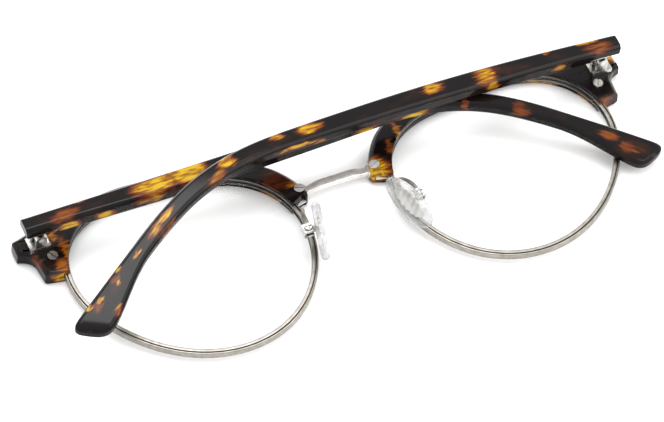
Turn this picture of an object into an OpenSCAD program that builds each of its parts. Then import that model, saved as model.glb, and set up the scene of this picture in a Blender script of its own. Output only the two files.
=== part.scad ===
// Browline eyeglasses, folded and lying on their front: +X to the wearer's right,
// +Y to the brow, +Z to the wearer. The table is z = 0 and the middle of the front is x = 0.

/* [Lenses] */
// Mean radius of the lens outline
lens_r = 23.4; // [21:0.1:26]
// How much wider than high the lens is, as a share of its radius
lens_oval = 0.08; // [0:0.005:0.12]
// How far the outer top corner is pulled out, as a share of the radius
lens_lean = 0.045; // [0:0.005:0.06]
// How flat the top and how pointed the bottom is, as a share of the radius
lens_taper = 0.052; // [0:0.002:0.06]
// How square the outline is, as a share of the radius
lens_square = -0.012; // [-0.02:0.002:0.02]
// Distance between the two lens centres
lens_spacing = 71.8; // [66:0.1:78]
// Thickness of a lens
lens_t = 1.6; // [1.2:0.1:2]
// Radius of the sphere that both lens faces follow
lens_curve = 265; // [180:5:400]

/* [Eyewires] */
// Thickness of the metal outside the lens edge
wire_out = 1; // [0.8:0.05:1.3]
// Width of the metal lip that holds the lens in
wire_lip = 0.35; // [0.2:0.05:0.6]
// Depth of an eyewire from front to back
wire_d = 1.7; // [1.4:0.1:2.2]
// Height of the eyewire's front edge above the table
wire_z = 1.15; // [0.8:0.05:1.6]
// Width of the tongue on the lens edge
lens_tongue = 0.55; // [0.4:0.05:0.7]
// Height of the groove that takes the tongue
wire_groove = 1.1; // [1:0.05:1.2]

/* [Brows] */
// Thickness of the acetate from front to back
brow_t = 3.9; // [3.5:0.1:4.8]
// Width of the acetate above the lens, from the lens edge
brow_top = 3.1; // [2.6:0.1:4]
// Width of the acetate beside the nose, from the lens edge
brow_nose = 4.8; // [4.2:0.1:5.4]
// Width of the acetate at the temple side, from the lens edge
brow_leg = 5; // [4.4:0.1:6]
// Angle on the lens outline at which the brow ends on the temple side
brow_start = 15.5; // [12:0.5:20]
// Angle on the lens outline at which the brow ends beside the nose
brow_stop = 166.5; // [164:0.5:168]
// Reach of the front lip inside the lens edge
lip_front = 0.05; // [0:0.05:0.4]
// Reach of the back lip inside the lens edge
lip_back = 0.25; // [0:0.05:0.4]
// Bevel on the outer back edge
bevel_back = 0.9; // [0.4:0.1:1.2]
// Bevel on the outer front edge
bevel_front = 0.6; // [0.3:0.1:1]

/* [End pieces] */
// Overall width of the front
front_w = 139.6; // [136:0.2:146]
// Height of the end piece above the lens centre, at its top corner
end_top = 18.2; // [16.5:0.1:20]
// Height of the end piece's outer side
end_h = 3.9; // [3.2:0.1:4.6]
// Length of the smooth run from the brow's top into the end piece
end_run = 11; // [8:0.5:14]
// Radius of the hollow under the end piece
end_hollow = 3.3; // [2.8:0.1:3.6]
// Radius of the brow's rounded end beside the nose
nose_round = 1.4; // [1:0.1:2]

/* [Temples] */
// Length of a temple along its top edge
temple_l = 143.2; // [140:0.2:145]
// Distance from the butt at which the ear bend begins
bend_from = 76.4; // [72:0.2:80]
// Distance from the butt at which the ear bend ends
bend_to = 121; // [117:0.5:124]
// Angle of the ear bend
bend_a = 36.2; // [34:0.1:37]
// Distance from the butt at which the ear begins to curl towards the head
curl_from = 80; // [76:0.5:84]
// Height of a temple at its hinge
temple_h = 4; // [3.7:0.1:4.4]
// Height of a temple at its widest, between hinge and bend
temple_mid_h = 4.8; // [4.4:0.1:5.4]
// Height of a temple in the ear bend
temple_neck_h = 3.1; // [2.9:0.1:3.6]
// Height of a temple near its tip
temple_tip_h = 6.9; // [6.4:0.1:7.6]
// Thickness of a temple at its hinge
temple_t = 3.6; // [3.4:0.1:3.7]
// Thickness of a temple in the middle
temple_mid_t = 3; // [2.7:0.1:3.2]
// Thickness of a temple at the tip
temple_tip_t = 2.4; // [2.1:0.1:2.6]
// Slant of the tip's end, as a share of its height
tip_skew = 0.55; // [0:0.05:0.6]
// Bevel along the outer face
temple_bevel = 0.7; // [0.4:0.1:0.8]
// Bevel along the inner face
temple_bevel_in = 0.4; // [0.2:0.1:0.6]
// Drop of the left temple at its hinge, in degrees
drop_left = -0.5; // [-1:0.1:0.5]
// Drop of the right temple at its hinge, in degrees
drop_right = -1.4; // [-1.8:0.1:-0.8]
// Gentle turn of the left temple between hinge and bend, in degrees
sag_left = -0.6; // [-1:0.1:2]
// Gentle turn of the right temple between hinge and bend, in degrees
sag_right = 6.1; // [4:0.1:7]
// Tilt of the folded left temple, which lies underneath
tilt_left = -0.3; // [-0.5:0.1:0.3]
// Gap between the folded temples where they cross
stack_gap = 0.4; // [0.35:0.05:0.8]
// Gap between the folded left temple and the right eyewire
tip_gap = 0.4; // [0.35:0.05:0.8]
// Gap between the butt of an open temple and the end piece
butt_gap = 0.05; // [0.03:0.01:0.1]
// Thickness of the wire core in a temple
core_d = 1.1; // [0.9:0.1:1.2]

/* [Hinges] */
// Height of the hinge's middle above the lens centre
hinge_y = 15.2; // [14.8:0.1:15.5]
// Distance from the butt of a temple to the hinge axis
butt_l = 3.4; // [3.2:0.05:3.6]
// Distance from the hinge axis to a temple's outer face
axis_depth = 5.1; // [5:0.05:5.4]
// Radius of the hinge knuckles
knuckle_r = 1.2; // [1.1:0.05:1.25]
// Length of each front knuckle
knuckle_l = 0.95; // [0.85:0.05:1.05]
// Length of the temple knuckle
knuckle_mid_l = 1.3; // [1.1:0.05:1.4]
// Side clearance between knuckles
knuckle_gap = 0.05; // [0.03:0.01:0.08]
// Radius of the hinge screw's shank
screw_r = 0.6; // [0.5:0.05:0.65]
// Radius of the hinge screw's head
screw_head_r = 0.9; // [0.8:0.05:1]
// Running clearance of the hinge screw
screw_fit = 0.03; // [0.02:0.01:0.05]
// Thickness of the hinge's plate on the brow
plate_t = 0.5; // [0.4:0.05:0.7]
// Length of the hinge's plate across the end piece
plate_w = 4.6; // [4.4:0.1:4.8]
// Width of the hinge's plate
plate_h = 3.4; // [3.2:0.1:3.5]
// Height of the stop walls on the plate
stop_h = 1.1; // [0.8:0.1:1.3]
// Thickness of the stop walls
stop_t = 0.7; // [0.5:0.1:0.8]
// Depth of the hinge's anchor in the brow
anchor_d = 0.8; // [0.6:0.05:0.9]
// Thickness of the hinge leaf in the temple
leaf_t = 0.8; // [0.6:0.05:0.9]
// Length of the hinge leaf beyond the axis
leaf_l = 3.6; // [3:0.1:4.2]
// Depth of the hinge recess in a temple
recess_d = 1.2; // [1.1:0.05:1.3]

/* [Bridge] */
// Height of the bridge bar's middle above the lens centre
bridge_y = 9.2; // [8.5:0.1:10]
// Height of the bridge bar in the middle, seen from the front
bridge_h = 2.2; // [1.8:0.1:2.6]
// Height of the bridge bar where it enters the brows
bridge_end_h = 1.7; // [1.4:0.1:2]
// Thickness of the bridge bar from front to back
bridge_t = 1.3; // [1.1:0.1:1.6]
// How far the bridge stands back in the middle
bridge_arch = 0.7; // [0.3:0.1:1.2]
// Width of the lugs at the bridge's ends
lug_h = 2.8; // [2.6:0.1:3]
// How far the bar reaches past the brow's end before it becomes a lug
lug_step = 0.3; // [0.1:0.1:0.6]

/* [Eyewire locks] */
// Angle on the lens outline at which the eyewire is split
lock_a = 20; // [19.5:0.1:20.5]
// Width of the split in the eyewire
lock_gap = 0.3; // [0.2:0.05:0.4]
// Length of a lock block along the eyewire
lock_l = 1.1; // [1:0.05:1.2]
// Reach of the lock blocks outside the eyewire
lock_w = 2.2; // [2:0.05:2.4]
// Radius of the lock screw's shank
lock_r = 0.4; // [0.35:0.05:0.45]
// Radius of the lock screw's head
lock_head_r = 0.65; // [0.55:0.05:0.7]

/* [Nose pads] */
// Length of a nose pad
pad_l = 14.4; // [13:0.2:15]
// Width of a nose pad
pad_w = 7; // [6.6:0.1:7.2]
// Thickness of a nose pad
pad_t = 2.2; // [2:0.1:2.4]
// Distance of a pad's middle from its box, across the nose
pad_out = 2.6; // [2.3:0.1:2.9]
// Height of a pad's middle against the lens centre
pad_y = -4.7; // [-5.2:0.1:-4.2]
// Height of a pad's middle above the table
pad_z = 7.2; // [7:0.1:7.8]
// Lean of a pad towards the brow, seen from the front
pad_lean = 15; // [12:1:18]
// Splay of a pad towards the wearer
pad_splay = 13; // [10:1:16]
// Thickness of the pad's metal insert
insert_t = 0.5; // [0.4:0.05:0.6]
// Gauge of the pad arm wire
arm_d = 0.9; // [0.8:0.05:1]
// Height of the pad arm's foot against the lens centre
arm_y = -2.1; // [-2.6:0.1:-1.6]
// Rise of the pad arm's bend above the lens centre
arm_top = 2.4; // [2:0.1:3]
// Distance of the pad box inside the lens edge, seen from the front
box_in = 1.21434; // [1.1:0.01:1.5]
// Height of the pad box against the lens centre
box_y = -3.9; // [-4.4:0.1:-3.4]
// Width of the pad box
box_w = 2.2; // [2.1:0.05:2.4]
// Wall of the pad box
box_t = 0.5; // [0.45:0.05:0.6]
// Wall of the pad box behind its slot
box_back = 0.3; // [0.25:0.01:0.3]
// Thickness of the pad's tab inside its box
tab_t = 0.8; // [0.7:0.05:0.9]
// Clearance of the tab inside its box
tab_gap = 0.08; // [0.05:0.01:0.1]
// Radius of the pad screw's shank
pin_r = 0.4; // [0.35:0.05:0.45]

/* [Screws] */
// Distance of the nose-side brow screws from the lens edge
nose_screw_out = 3.81434; // [3.6:0.01:4]
// Distance of the temple-side brow screws from the lens edge
end_screw_out = 2.80316; // [2.6:0.01:3]
// Distance of the temple-side brow screws from the split in the eyewire
end_screw_up = 1.95728; // [1.8:0.01:2.1]
// Radius of the brow screws' heads
head_r = 1.1; // [1:0.05:1.2]
// Thickness of the screw heads
head_t = 0.45; // [0.4:0.05:0.5]
// Radius of the brow screws' shanks
shank_r = 0.55; // [0.45:0.05:0.6]
// Width of the screwdriver slots
slot_w = 0.35; // [0.25:0.05:0.45]
// Depth of the screwdriver slots
slot_d = 0.22; // [0.15:0.01:0.25]
// Clearance around seated pieces
fit = 0.04; // [0.02:0.01:0.05]

/* [Hidden] */
// Steps round the lens outline
rim_steps = 144;
// Steps of the round metal parts
round_fn = 48;
// Steps of the two spheres that shape the lens
ball_fn = 180;
// Steps round the wire parts
wire_fn = 8;
// Overshoot of the cutting shapes
over = 1;
// Smallest overlap that joins two shapes of one piece
tie = 0.05;
// Extra height that is planed off the brow's two faces
skim = 0.1;
// Turn of the slots in the brow screws and the hinge screws
nose_slot = 25;
end_slot = 60;
hinge_slot = 30;
// Sizes that follow from those above
half_w = front_w / 2;
lens_x = lens_spacing / 2;
wire_back = wire_z + wire_d;
wire_mid = wire_z + wire_d / 2;
lens_sag = lens_curve - sqrt(lens_curve * lens_curve - lens_r * lens_r);
lens_apex = wire_mid - lens_t / 2 - lens_sag;
hinge_z = brow_t + butt_gap + butt_l;
hinge_x = half_w - axis_depth;

// Colours
acetate = [0.2, 0.1, 0.05];
silver = [0.78, 0.78, 0.8];
clear = [0.85, 0.92, 0.95, 0.4];
soft = [0.92, 0.92, 0.9, 0.7];

// Smooth step from 0 to 1
function ease(t) = let (u = min(1, max(0, t))) u * u * (3 - 2 * u);

// Value between two values
function mix(p, q, t) = p + (q - p) * t;

// Lens outline about the lens centre, its rate of change and its outward direction
function lens_rad(a) = lens_r * (1 + lens_oval * cos(2 * a) + lens_lean * sin(2 * a)
    + lens_taper * sin(3 * a) + lens_square * cos(4 * a));
function lens_rate(a) = lens_r * (-2 * lens_oval * sin(2 * a) + 2 * lens_lean * cos(2 * a)
    + 3 * lens_taper * cos(3 * a) - 4 * lens_square * sin(4 * a));
function edge_turn(a) = a - atan(lens_rate(a) / lens_rad(a));
function edge_pt(a, off) = [
    lens_x + lens_rad(a) * cos(a) + off * cos(edge_turn(a)),
    lens_rad(a) * sin(a) + off * sin(edge_turn(a))
];
function outline(off) = [for (k = [0 : rim_steps - 1]) edge_pt(k * 360 / rim_steps, off)];

// Angle on the lens outline whose edge lies at a given height, nose side: first span and halvings
nose_from = 130;
nose_to = 200;
nose_tries = 24;
function nose_angle(y, lo = nose_from, hi = nose_to, n = nose_tries) = n == 0 ? (lo + hi) / 2
    : let (mid = (lo + hi) / 2) edge_pt(mid, 0)[1] > y ? nose_angle(y, mid, hi, n - 1)
    : nose_angle(y, lo, mid, n - 1);
function nose_x(y) = edge_pt(nose_angle(y), 0)[0];

// Places of the brow screws and of the pad box, from the lens edge
nose_screw_x = nose_x(bridge_y) - nose_screw_out;
end_screw_pt = let (a = edge_turn(lock_a)) edge_pt(lock_a, 0)
    + end_screw_out * [cos(a), sin(a)] + end_screw_up * [-sin(a), cos(a)];
box_x = nose_x(box_y) + box_in;
pad_x = box_x - pad_out;

// Outer edge of the brow from the leg's foot over the end piece to the nose
// Angle on the lens outline at which the end piece's run joins the band above the lens
join_a = 62;
// Steps of the outer edge's five stretches
leg_steps = 5;
hollow_steps = 7;
run_steps = 10;
band_steps = 32;
nose_steps = 6;
// Share of the angle between foot and join at the leg's top and at the two outer corners
share_leg = 0.13;
share_low = 0.27;
share_high = 0.4;
// Where the hollow's arc ends before the lower corner, and the run's first step after the upper one
hollow_stop = 112;
run_start = 0.06;
// Angle at which the brow begins to widen towards the nose, and the angle that this takes
widen_a = 112;
widen_run = 38;
// Lean of the brow's outer side towards its back
brow_lean = 0.15;

end_low = end_top - end_h;
hollow_y = end_low - end_hollow;
round_a = nose_round / lens_r * 180 / PI;
nose_a = brow_stop - round_a;
function band_w(a) = mix(brow_top, brow_nose, ease((a - widen_a) / widen_run));
foot_pt = edge_pt(brow_start, brow_leg);
join_pt = edge_pt(join_a, brow_top);
join_turn = edge_turn(join_a) - 90;
run_pt = join_pt + end_run * [cos(join_turn), sin(join_turn)];
corner_pt = [half_w, end_top];
function bend_pt(t) = (1 - t) * (1 - t) * corner_pt + 2 * t * (1 - t) * run_pt + t * t * join_pt;
function key_a(share) = mix(brow_start, join_a, share);

// Each entry pairs an angle on the lens outline with a point of the outer edge
brow_path = concat(
    [for (k = [0 : leg_steps - 1]) let (t = k / leg_steps)
        [mix(brow_start, key_a(share_leg), t), mix(foot_pt, [half_w - end_hollow, hollow_y], t)]],
    [for (k = [0 : hollow_steps]) let (t = k / hollow_steps, a = mix(180, hollow_stop, t))
        [mix(key_a(share_leg), key_a(share_low), t * (1 - 1 / (hollow_steps + 1))),
         [half_w + end_hollow * cos(a), hollow_y + end_hollow * sin(a)]]],
    [[key_a(share_low), [half_w, end_low]], [key_a(share_high), corner_pt]],
    [for (k = [0 : run_steps - 1]) let (t = mix(run_start, 1, k / run_steps))
        [mix(key_a(share_high), join_a, (k + 1) / (run_steps + 1)), bend_pt(t)]],
    [for (k = [0 : band_steps]) let (a = mix(join_a, nose_a, k / band_steps))
        [a, edge_pt(a, band_w(a))]],
    [for (k = [1 : nose_steps]) let (u = sin(k * 90 / nose_steps), a = mix(nose_a, brow_stop, u))
        [a, edge_pt(a, band_w(a) - nose_round * (1 - cos(k * 90 / nose_steps)))]]
);
brow_count = len(brow_path);

// Outward direction of the outer edge at one entry, as a mitre between its two sides
function way_of(i, j) = let (d = brow_path[j][1] - brow_path[i][1]) [d[1], -d[0]] / norm(d);
function side_way(i) = let (m = way_of(max(0, i - 1), max(1, i)),
    n = way_of(min(i, brow_count - 2), min(i + 1, brow_count - 1))) (m + n) / (1 + m * n);

// The whole part is moved so that the middle of its outline is the origin
shift_y = -(max([for (e = brow_path) e[1][1]]) + min([for (p = outline(wire_out)) p[1]])) / 2;

// Closed body through a list of rings; each ring is seen whole from its first point
module loft(rings) {
    n = len(rings[0]);
    m = len(rings);
    sides = [for (i = [0 : m - 2], j = [0 : n - 1], half = [0, 1])
        let (a = i * n + j, b = i * n + (j + 1) % n, c = b + n, d = a + n)
        half == 0 ? [a, c, b] : [a, d, c]];
    first = [for (j = [1 : n - 2]) [0, j, j + 1]];
    last = [for (j = [1 : n - 2]) [0, j + 1, j] + [1, 1, 1] * (m - 1) * n];
    polyhedron(points = [for (r = rings) each r], faces = concat(sides, first, last), convexity = 6);
}

// Upright prism with the lens outline
module lens_prism(off, z0, z1) {
    translate([0, 0, z0]) linear_extrude(z1 - z0) polygon(outline(off));
}

// Places a shape on the lens outline: +X outwards, +Y along the outline
module on_edge(a) {
    p = edge_pt(a, 0);
    translate([p[0], p[1], 0]) rotate([0, 0, edge_turn(a)]) children();
}

module place() {
    translate([0, shift_y, 0]) children();
}

module place_left() {
    translate([0, shift_y, 0]) mirror([1, 0, 0]) children();
}

// Screw standing on +Z with its head's top at the origin and its slot turned by a
module screw(r, rh, th, length, a) {
    difference() {
        union() {
            translate([0, 0, -th]) cylinder(r = rh, h = th, $fn = round_fn);
            translate([0, 0, -length]) cylinder(r = r, h = length - th + tie, $fn = round_fn);
        }
        rotate([0, 0, a]) translate([-rh - over, -slot_w / 2, -slot_d])
            cube([2 * (rh + over), slot_w, slot_d + over]);
    }
}

// Room for such a screw
module screw_room(r, rh, th, length) {
    translate([0, 0, -th]) cylinder(r = rh + fit, h = th + over, $fn = round_fn);
    translate([0, 0, -length - over]) cylinder(r = r + fit, h = length + over, $fn = round_fn);
}

// Brow

// Section of the brow at one entry of its path, a little too tall at both faces
function brow_ring(i) = let (a = brow_path[i][0], p = brow_path[i][1], w = side_way(i),
    s1 = p - w * brow_lean, s2 = s1 - w * (bevel_back + skim), f = p - w * (bevel_front + skim),
    b = edge_pt(a, -lip_back), c = edge_pt(a, -lip_front)) [
    [p[0], p[1], bevel_front], [f[0], f[1], -skim], [c[0], c[1], -skim],
    [b[0], b[1], brow_t + skim], [s2[0], s2[1], brow_t + skim], [s1[0], s1[1], brow_t - bevel_back]
];

// Channel for the eyewire, place of the hinge plate and its anchor, and length of the brow screws;
// the plate stands back from the open temple's recess by its gap
channel_lo = wire_z - fit;
channel_hi = wire_back + fit;
plate_gap = 0.24;
plate_x = hinge_x + axis_depth - temple_t + recess_d - plate_gap;
anchor_w = plate_w / 2;
anchor_h = plate_h / 2;
screw_l = brow_t - wire_z - fit;

module brow() {
    difference() {
        loft([for (i = [0 : brow_count - 1]) brow_ring(i)]);
        // planes of the front and of the back
        for (z = [-over, brow_t]) translate([0, -half_w, z]) cube([half_w + over, front_w, over]);
        lens_prism(wire_out + fit, channel_lo, channel_hi);
        // pocket of the bridge lug
        translate([0, bridge_y - lug_h / 2 - fit, channel_lo])
            cube([nose_x(bridge_y), lug_h + 2 * fit, channel_hi - channel_lo]);
        // pocket of the lock and lug
        on_edge(lock_a) translate([0, -lock_l - over - lock_end, channel_lo])
            cube([wire_out + lug_w + fit, lock_l + over + lock_end + lug_l + fit, channel_hi - channel_lo]);
        translate([nose_screw_x, bridge_y, brow_t]) screw_room(shank_r, head_r, head_t, screw_l - over);
        translate([end_screw_pt[0], end_screw_pt[1], brow_t]) screw_room(shank_r, head_r, head_t, screw_l - over);
        // pocket of the hinge anchor
        translate([plate_x - plate_w / 2 - anchor_w / 2 - fit, hinge_y - anchor_h / 2 - fit,
            brow_t - anchor_d - fit])
            cube([anchor_w + 2 * fit, anchor_h + 2 * fit, anchor_d + fit + over]);
    }
}

module brow_right() {
    color(acetate) place() brow();
}

module brow_left() {
    color(acetate) place_left() brow();
}

// Eyewire, split at the lock

module rim() {
    difference() {
        lens_prism(wire_out, wire_z, wire_back);
        lens_prism(-wire_lip, wire_z - over, wire_back + over);
        lens_prism(fit, wire_mid - wire_groove / 2, wire_mid + wire_groove / 2);
        on_edge(lock_a) translate([-wire_lip - over, -lock_gap / 2, wire_z - over])
            cube([wire_lip + wire_out + 2 * over, lock_gap, wire_d + 2 * over]);
    }
}

module rim_right() {
    color(silver) place() rim();
}

module rim_left() {
    color(silver) place_left() rim();
}

// Lens

module shell(t0, t1) {
    translate([lens_x, 0, lens_apex + lens_curve]) difference() {
        sphere(r = lens_curve - t0, $fn = ball_fn);
        sphere(r = lens_curve - t1, $fn = ball_fn);
    }
}

module lens() {
    union() {
        intersection() {
            lens_prism(-wire_lip - fit, lens_apex - over, wire_back + over);
            shell(0, lens_t);
        }
        intersection() {
            lens_prism(0, lens_apex - over, wire_back + over);
            shell(lens_t / 2 - lens_tongue / 2, lens_t / 2 + lens_tongue / 2);
        }
    }
}

module lens_right() {
    color(clear) place() lens();
}

module lens_left() {
    color(clear) place_left() lens();
}

// Bridge with its two lugs

// Half length of the bar and of its level middle
bar_end = edge_pt(brow_stop, brow_nose)[0] + lug_step;
bar_flat = bar_end / 2;
bar_steps = 24;
// Bevel along the bar's edges
bar_edge = 0.3;

function bar_ring(x) = let (e = ease((bar_end - abs(x)) / (bar_end - bar_flat)),
    h = mix(bridge_end_h, bridge_h, e) / 2, t = bridge_t / 2, z = wire_mid + bridge_arch * e,
    c = bar_edge) [
    [x, bridge_y - h + c, z - t], [x, bridge_y + h - c, z - t], [x, bridge_y + h, z - t + c],
    [x, bridge_y + h, z + t - c], [x, bridge_y + h - c, z + t], [x, bridge_y - h + c, z + t],
    [x, bridge_y - h, z + t - c], [x, bridge_y - h, z - t + c]
];

module bridge_lug() {
    difference() {
        translate([bar_end - tie, bridge_y - lug_h / 2, wire_z])
            cube([nose_x(bridge_y) - bar_end, lug_h, wire_d]);
        lens_prism(wire_out, wire_z - over, wire_back + over);
        translate([nose_screw_x, bridge_y, wire_z - over])
            cylinder(r = shank_r + fit, h = wire_d + 2 * over, $fn = round_fn);
    }
}

module bridge() {
    color(silver) place() {
        difference() {
            loft([for (k = [0 : bar_steps]) bar_ring(mix(-bar_end, bar_end, k / bar_steps))]);
            for (side = [-1, 1]) translate([side * nose_screw_x, bridge_y, wire_z - over])
                cylinder(r = shank_r + fit, h = wire_d + 2 * over, $fn = round_fn);
        }
        bridge_lug();
        mirror([1, 0, 0]) bridge_lug();
    }
}

// Lock block, lug and lock screw at the split of the eyewire

// Reach of the lug outside the eyewire, and its length
lug_w = 3.1;
lug_l = 4.6;
// Thickness of the lock screw's head
lock_end = 0.4;
// Distance of the lock screw from the lens edge
lock_x = wire_out + lock_w - lock_head_r - 2 * fit;

module lock() {
    difference() {
        on_edge(lock_a) translate([0, -lock_gap / 2 - lock_l, wire_z])
            cube([wire_out + lock_w, lock_l, wire_d]);
        lens_prism(wire_out, wire_z - over, wire_back + over);
        on_edge(lock_a) lock_bore();
    }
}

module lock_bore() {
    translate([lock_x, -over - lug_l, wire_mid]) rotate([-90, 0, 0])
        cylinder(r = lock_r + fit, h = over + 2 * lug_l, $fn = round_fn);
}

module lug() {
    difference() {
        on_edge(lock_a) translate([0, lock_gap / 2, wire_z])
            cube([wire_out + lug_w, lug_l - lock_gap / 2, wire_d]);
        lens_prism(wire_out, wire_z - over, wire_back + over);
        on_edge(lock_a) intersection() {
            lock_bore();
            translate([0, -over, 0]) cube([wire_out + lug_w, over + lock_l + lock_gap, brow_t]);
        }
        translate([end_screw_pt[0], end_screw_pt[1], wire_z - over])
            cylinder(r = shank_r + fit, h = wire_d + 2 * over, $fn = round_fn);
    }
}

module lock_screw() {
    on_edge(lock_a) translate([lock_x, -lock_gap / 2 - lock_l - lock_end, wire_mid]) rotate([90, 0, 0])
        screw(lock_r, lock_head_r, lock_end, lock_end + 2 * lock_l + lock_gap, 0);
}

module lock_right() {
    color(silver) place() lock();
}

module lock_left() {
    color(silver) place_left() lock();
}

module lug_right() {
    color(silver) place() lug();
}

module lug_left() {
    color(silver) place_left() lug();
}

module lock_screw_right() {
    color(silver) place() lock_screw();
}

module lock_screw_left() {
    color(silver) place_left() lock_screw();
}

// Screws that hold the brow to the metal

module nose_screw() {
    translate([nose_screw_x, bridge_y, brow_t]) screw(shank_r, head_r, head_t, screw_l, nose_slot);
}

module end_screw() {
    translate([end_screw_pt[0], end_screw_pt[1], brow_t])
        screw(shank_r, head_r, head_t, screw_l, end_slot);
}

module nose_screw_right() {
    color(silver) place() nose_screw();
}

module nose_screw_left() {
    color(silver) place_left() nose_screw();
}

module end_screw_right() {
    color(silver) place() end_screw();
}

module end_screw_left() {
    color(silver) place_left() end_screw();
}

// Pad arm, box and screw

// How far the box stands behind the pad's middle, and its height
box_rise = 0.3;
box_z = pad_z + box_rise;
box_h = tab_t + 2 * tab_gap + 2 * box_t;
arm_steps = 12;
// How far the arm bows towards the lens, how upright it leaves its ends and how far it swings to the box
arm_bow = 0.3;
arm_rise = 1.5;
arm_swing = 2.5;
arm_foot = [edge_pt(nose_angle(arm_y), wire_out / 2)[0], arm_y, wire_back];
arm_bend = [arm_foot[0] + arm_bow, arm_top, (wire_back + box_z) / 2];
arm_tip = [box_x, box_y + box_w / 2, box_z + box_h / 2 - arm_d / 2];

function curve_pt(p, t) = let (u = 1 - t)
    u * u * u * p[0] + 3 * u * u * t * p[1] + 3 * u * t * t * p[2] + t * t * t * p[3];
function curve_way(p, t) = let (u = 1 - t,
    d = 3 * u * u * (p[1] - p[0]) + 6 * u * t * (p[2] - p[1]) + 3 * t * t * (p[3] - p[2])) d / norm(d);
arm_a = [arm_foot, arm_foot + [0, 0, arm_rise], arm_bend - [0, 0, arm_rise], arm_bend];
arm_b = [arm_bend, arm_bend + [0, 0, arm_rise], arm_tip + [0, arm_swing, 0], arm_tip];

// Ring of a wire about a point, square to its way
function wire_ring(p, way, r) = let (side = cross(way, cross([1, 0, 0], way)), u = side / norm(side),
    v = cross(way, u)) [for (k = [0 : wire_fn - 1]) let (a = (k + 0.5) * 360 / wire_fn)
    p + r * (u * cos(a) + v * sin(a))];

module arm() {
    loft(concat(
        [for (k = [0 : arm_steps - 1]) let (t = k / arm_steps)
            wire_ring(curve_pt(arm_a, t), curve_way(arm_a, t), arm_d / 2)],
        [for (k = [0 : arm_steps]) let (t = k / arm_steps)
            wire_ring(curve_pt(arm_b, t), curve_way(arm_b, t), arm_d / 2)]));
}

module box() {
    translate([box_x, box_y, box_z]) difference() {
        translate([-box_w / 2, -box_w / 2, -box_h / 2]) cube([box_w, box_w, box_h]);
        translate([-box_w / 2 - over, -box_w / 2 - over, -box_h / 2 + box_t])
            cube([box_w - box_back + over, box_w + 2 * over, box_h - 2 * box_t]);
        translate([0, 0, -box_h / 2 - over])
            cylinder(r = pin_r + screw_fit, h = box_h + 2 * over, $fn = round_fn);
    }
}

module pad_screw() {
    translate([box_x, box_y, box_z + box_h / 2 + head_t]) difference() {
        screw(pin_r, 2 * pin_r, head_t, head_t + box_h, 0);
        translate([-slot_w / 2, -2 * pin_r - over, -slot_d])
            cube([slot_w, 4 * pin_r + 2 * over, slot_d + over]);
    }
}

module arm_right() {
    color(silver) place() arm();
}

module arm_left() {
    color(silver) place_left() arm();
}

module box_right() {
    color(silver) place() box();
}

module box_left() {
    color(silver) place_left() box();
}

module pad_screw_right() {
    color(silver) place() pad_screw();
}

module pad_screw_left() {
    color(silver) place_left() pad_screw();
}

// Nose pad with its metal insert

pad_steps = 32;
pad_layers = 6;
// How much slimmer the pad is at its upper end, how far its sides turn and how much they round it
pad_point = 0.1;
pad_turn = 72;
pad_soft = 0.35;
// Size of the insert as a share of the pad
insert_share = 0.62;
// Width of the tab, and how far its stem reaches out of the box
tab_w = 1.4;
tab_out = 2 * tab_gap;

// Pad outline at one scale: blunt towards the brow, fuller towards the tip of the nose
function pad_ring(x, share) = [for (k = [0 : pad_steps - 1]) let (a = k * 360 / pad_steps)
    [x, share * pad_l / 2 * cos(a), share * pad_w / 2 * sin(a) * (1 - pad_point * cos(a))]];

module on_pad() {
    translate([pad_x, pad_y, pad_z]) rotate([0, 0, pad_lean]) rotate([0, pad_splay, 0]) children();
}

module insert_plate(grow) {
    translate([-insert_t / 2 - grow, 0, 0]) rotate([0, 90, 0])
        linear_extrude(insert_t + 2 * grow)
            polygon([for (p = pad_ring(0, insert_share)) [-p[2], p[1]] * (1 + 2 * grow / pad_w)]);
}

// Stem from the insert out of the pad's back to the tab in the box
module insert_stem(grow) {
    hull() {
        on_pad() translate([0, -tab_w / 2 - grow, -tab_t / 2 - grow])
            cube([tie, tab_w + 2 * grow, tab_t + 2 * grow]);
        translate([box_x - box_w / 2 - tab_out, box_y - tab_w / 2 - grow, box_z - tab_t / 2 - grow])
            cube([tie, tab_w + 2 * grow, tab_t + 2 * grow]);
    }
}

module insert() {
    difference() {
        union() {
            on_pad() insert_plate(0);
            insert_stem(0);
            translate([box_x - box_w / 2 - tab_out, box_y - tab_w / 2, box_z - tab_t / 2])
                cube([box_w / 2 + tab_out, tab_w, tab_t]);
            translate([box_x, box_y, box_z - tab_t / 2]) cylinder(r = tab_w / 2, h = tab_t, $fn = round_fn);
        }
        translate([box_x, box_y, box_z - tab_t])
            cylinder(r = pin_r + screw_fit, h = 2 * tab_t, $fn = round_fn);
    }
}

module pad() {
    difference() {
        on_pad() loft([for (k = [0 : pad_layers]) let (a = mix(-pad_turn, pad_turn, k / pad_layers))
            pad_ring(pad_t / 2 * sin(a) / sin(pad_turn), mix(1, cos(a), pad_soft))]);
        on_pad() insert_plate(fit);
        insert_stem(fit);
    }
}

module insert_right() {
    color(silver) place() insert();
}

module insert_left() {
    color(silver) place_left() insert();
}

module pad_right() {
    color(soft) place() pad();
}

module pad_left() {
    color(soft) place_left() pad();
}

// Temple, in a frame of its own: origin on the hinge axis, +X to the tip, +Z out of the outer face

// Top edge of a temple as points one step apart, before it is dropped
path_steps = 90;
path_step = temple_l / path_steps;
function bend_at(s, sag) = sag * ease(s / curl_from)
    + (bend_a - sag) * ease((s - bend_from) / (bend_to - bend_from));
function step_at(a) = path_step * [cos(a), -sin(a)];
function path_of(sag) = [for (k = 0, p = [0, 0]; k <= path_steps; k = k + 1,
    p = p + step_at(bend_at((k - 0.5) * path_step, sag))) p];
function path_pt(s, path) = let (u = min(path_steps - 1, max(0, floor(s / path_step))))
    mix(path[u], path[u + 1], s / path_step - u);
path_left = path_of(sag_left);
path_right = path_of(sag_right);

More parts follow.
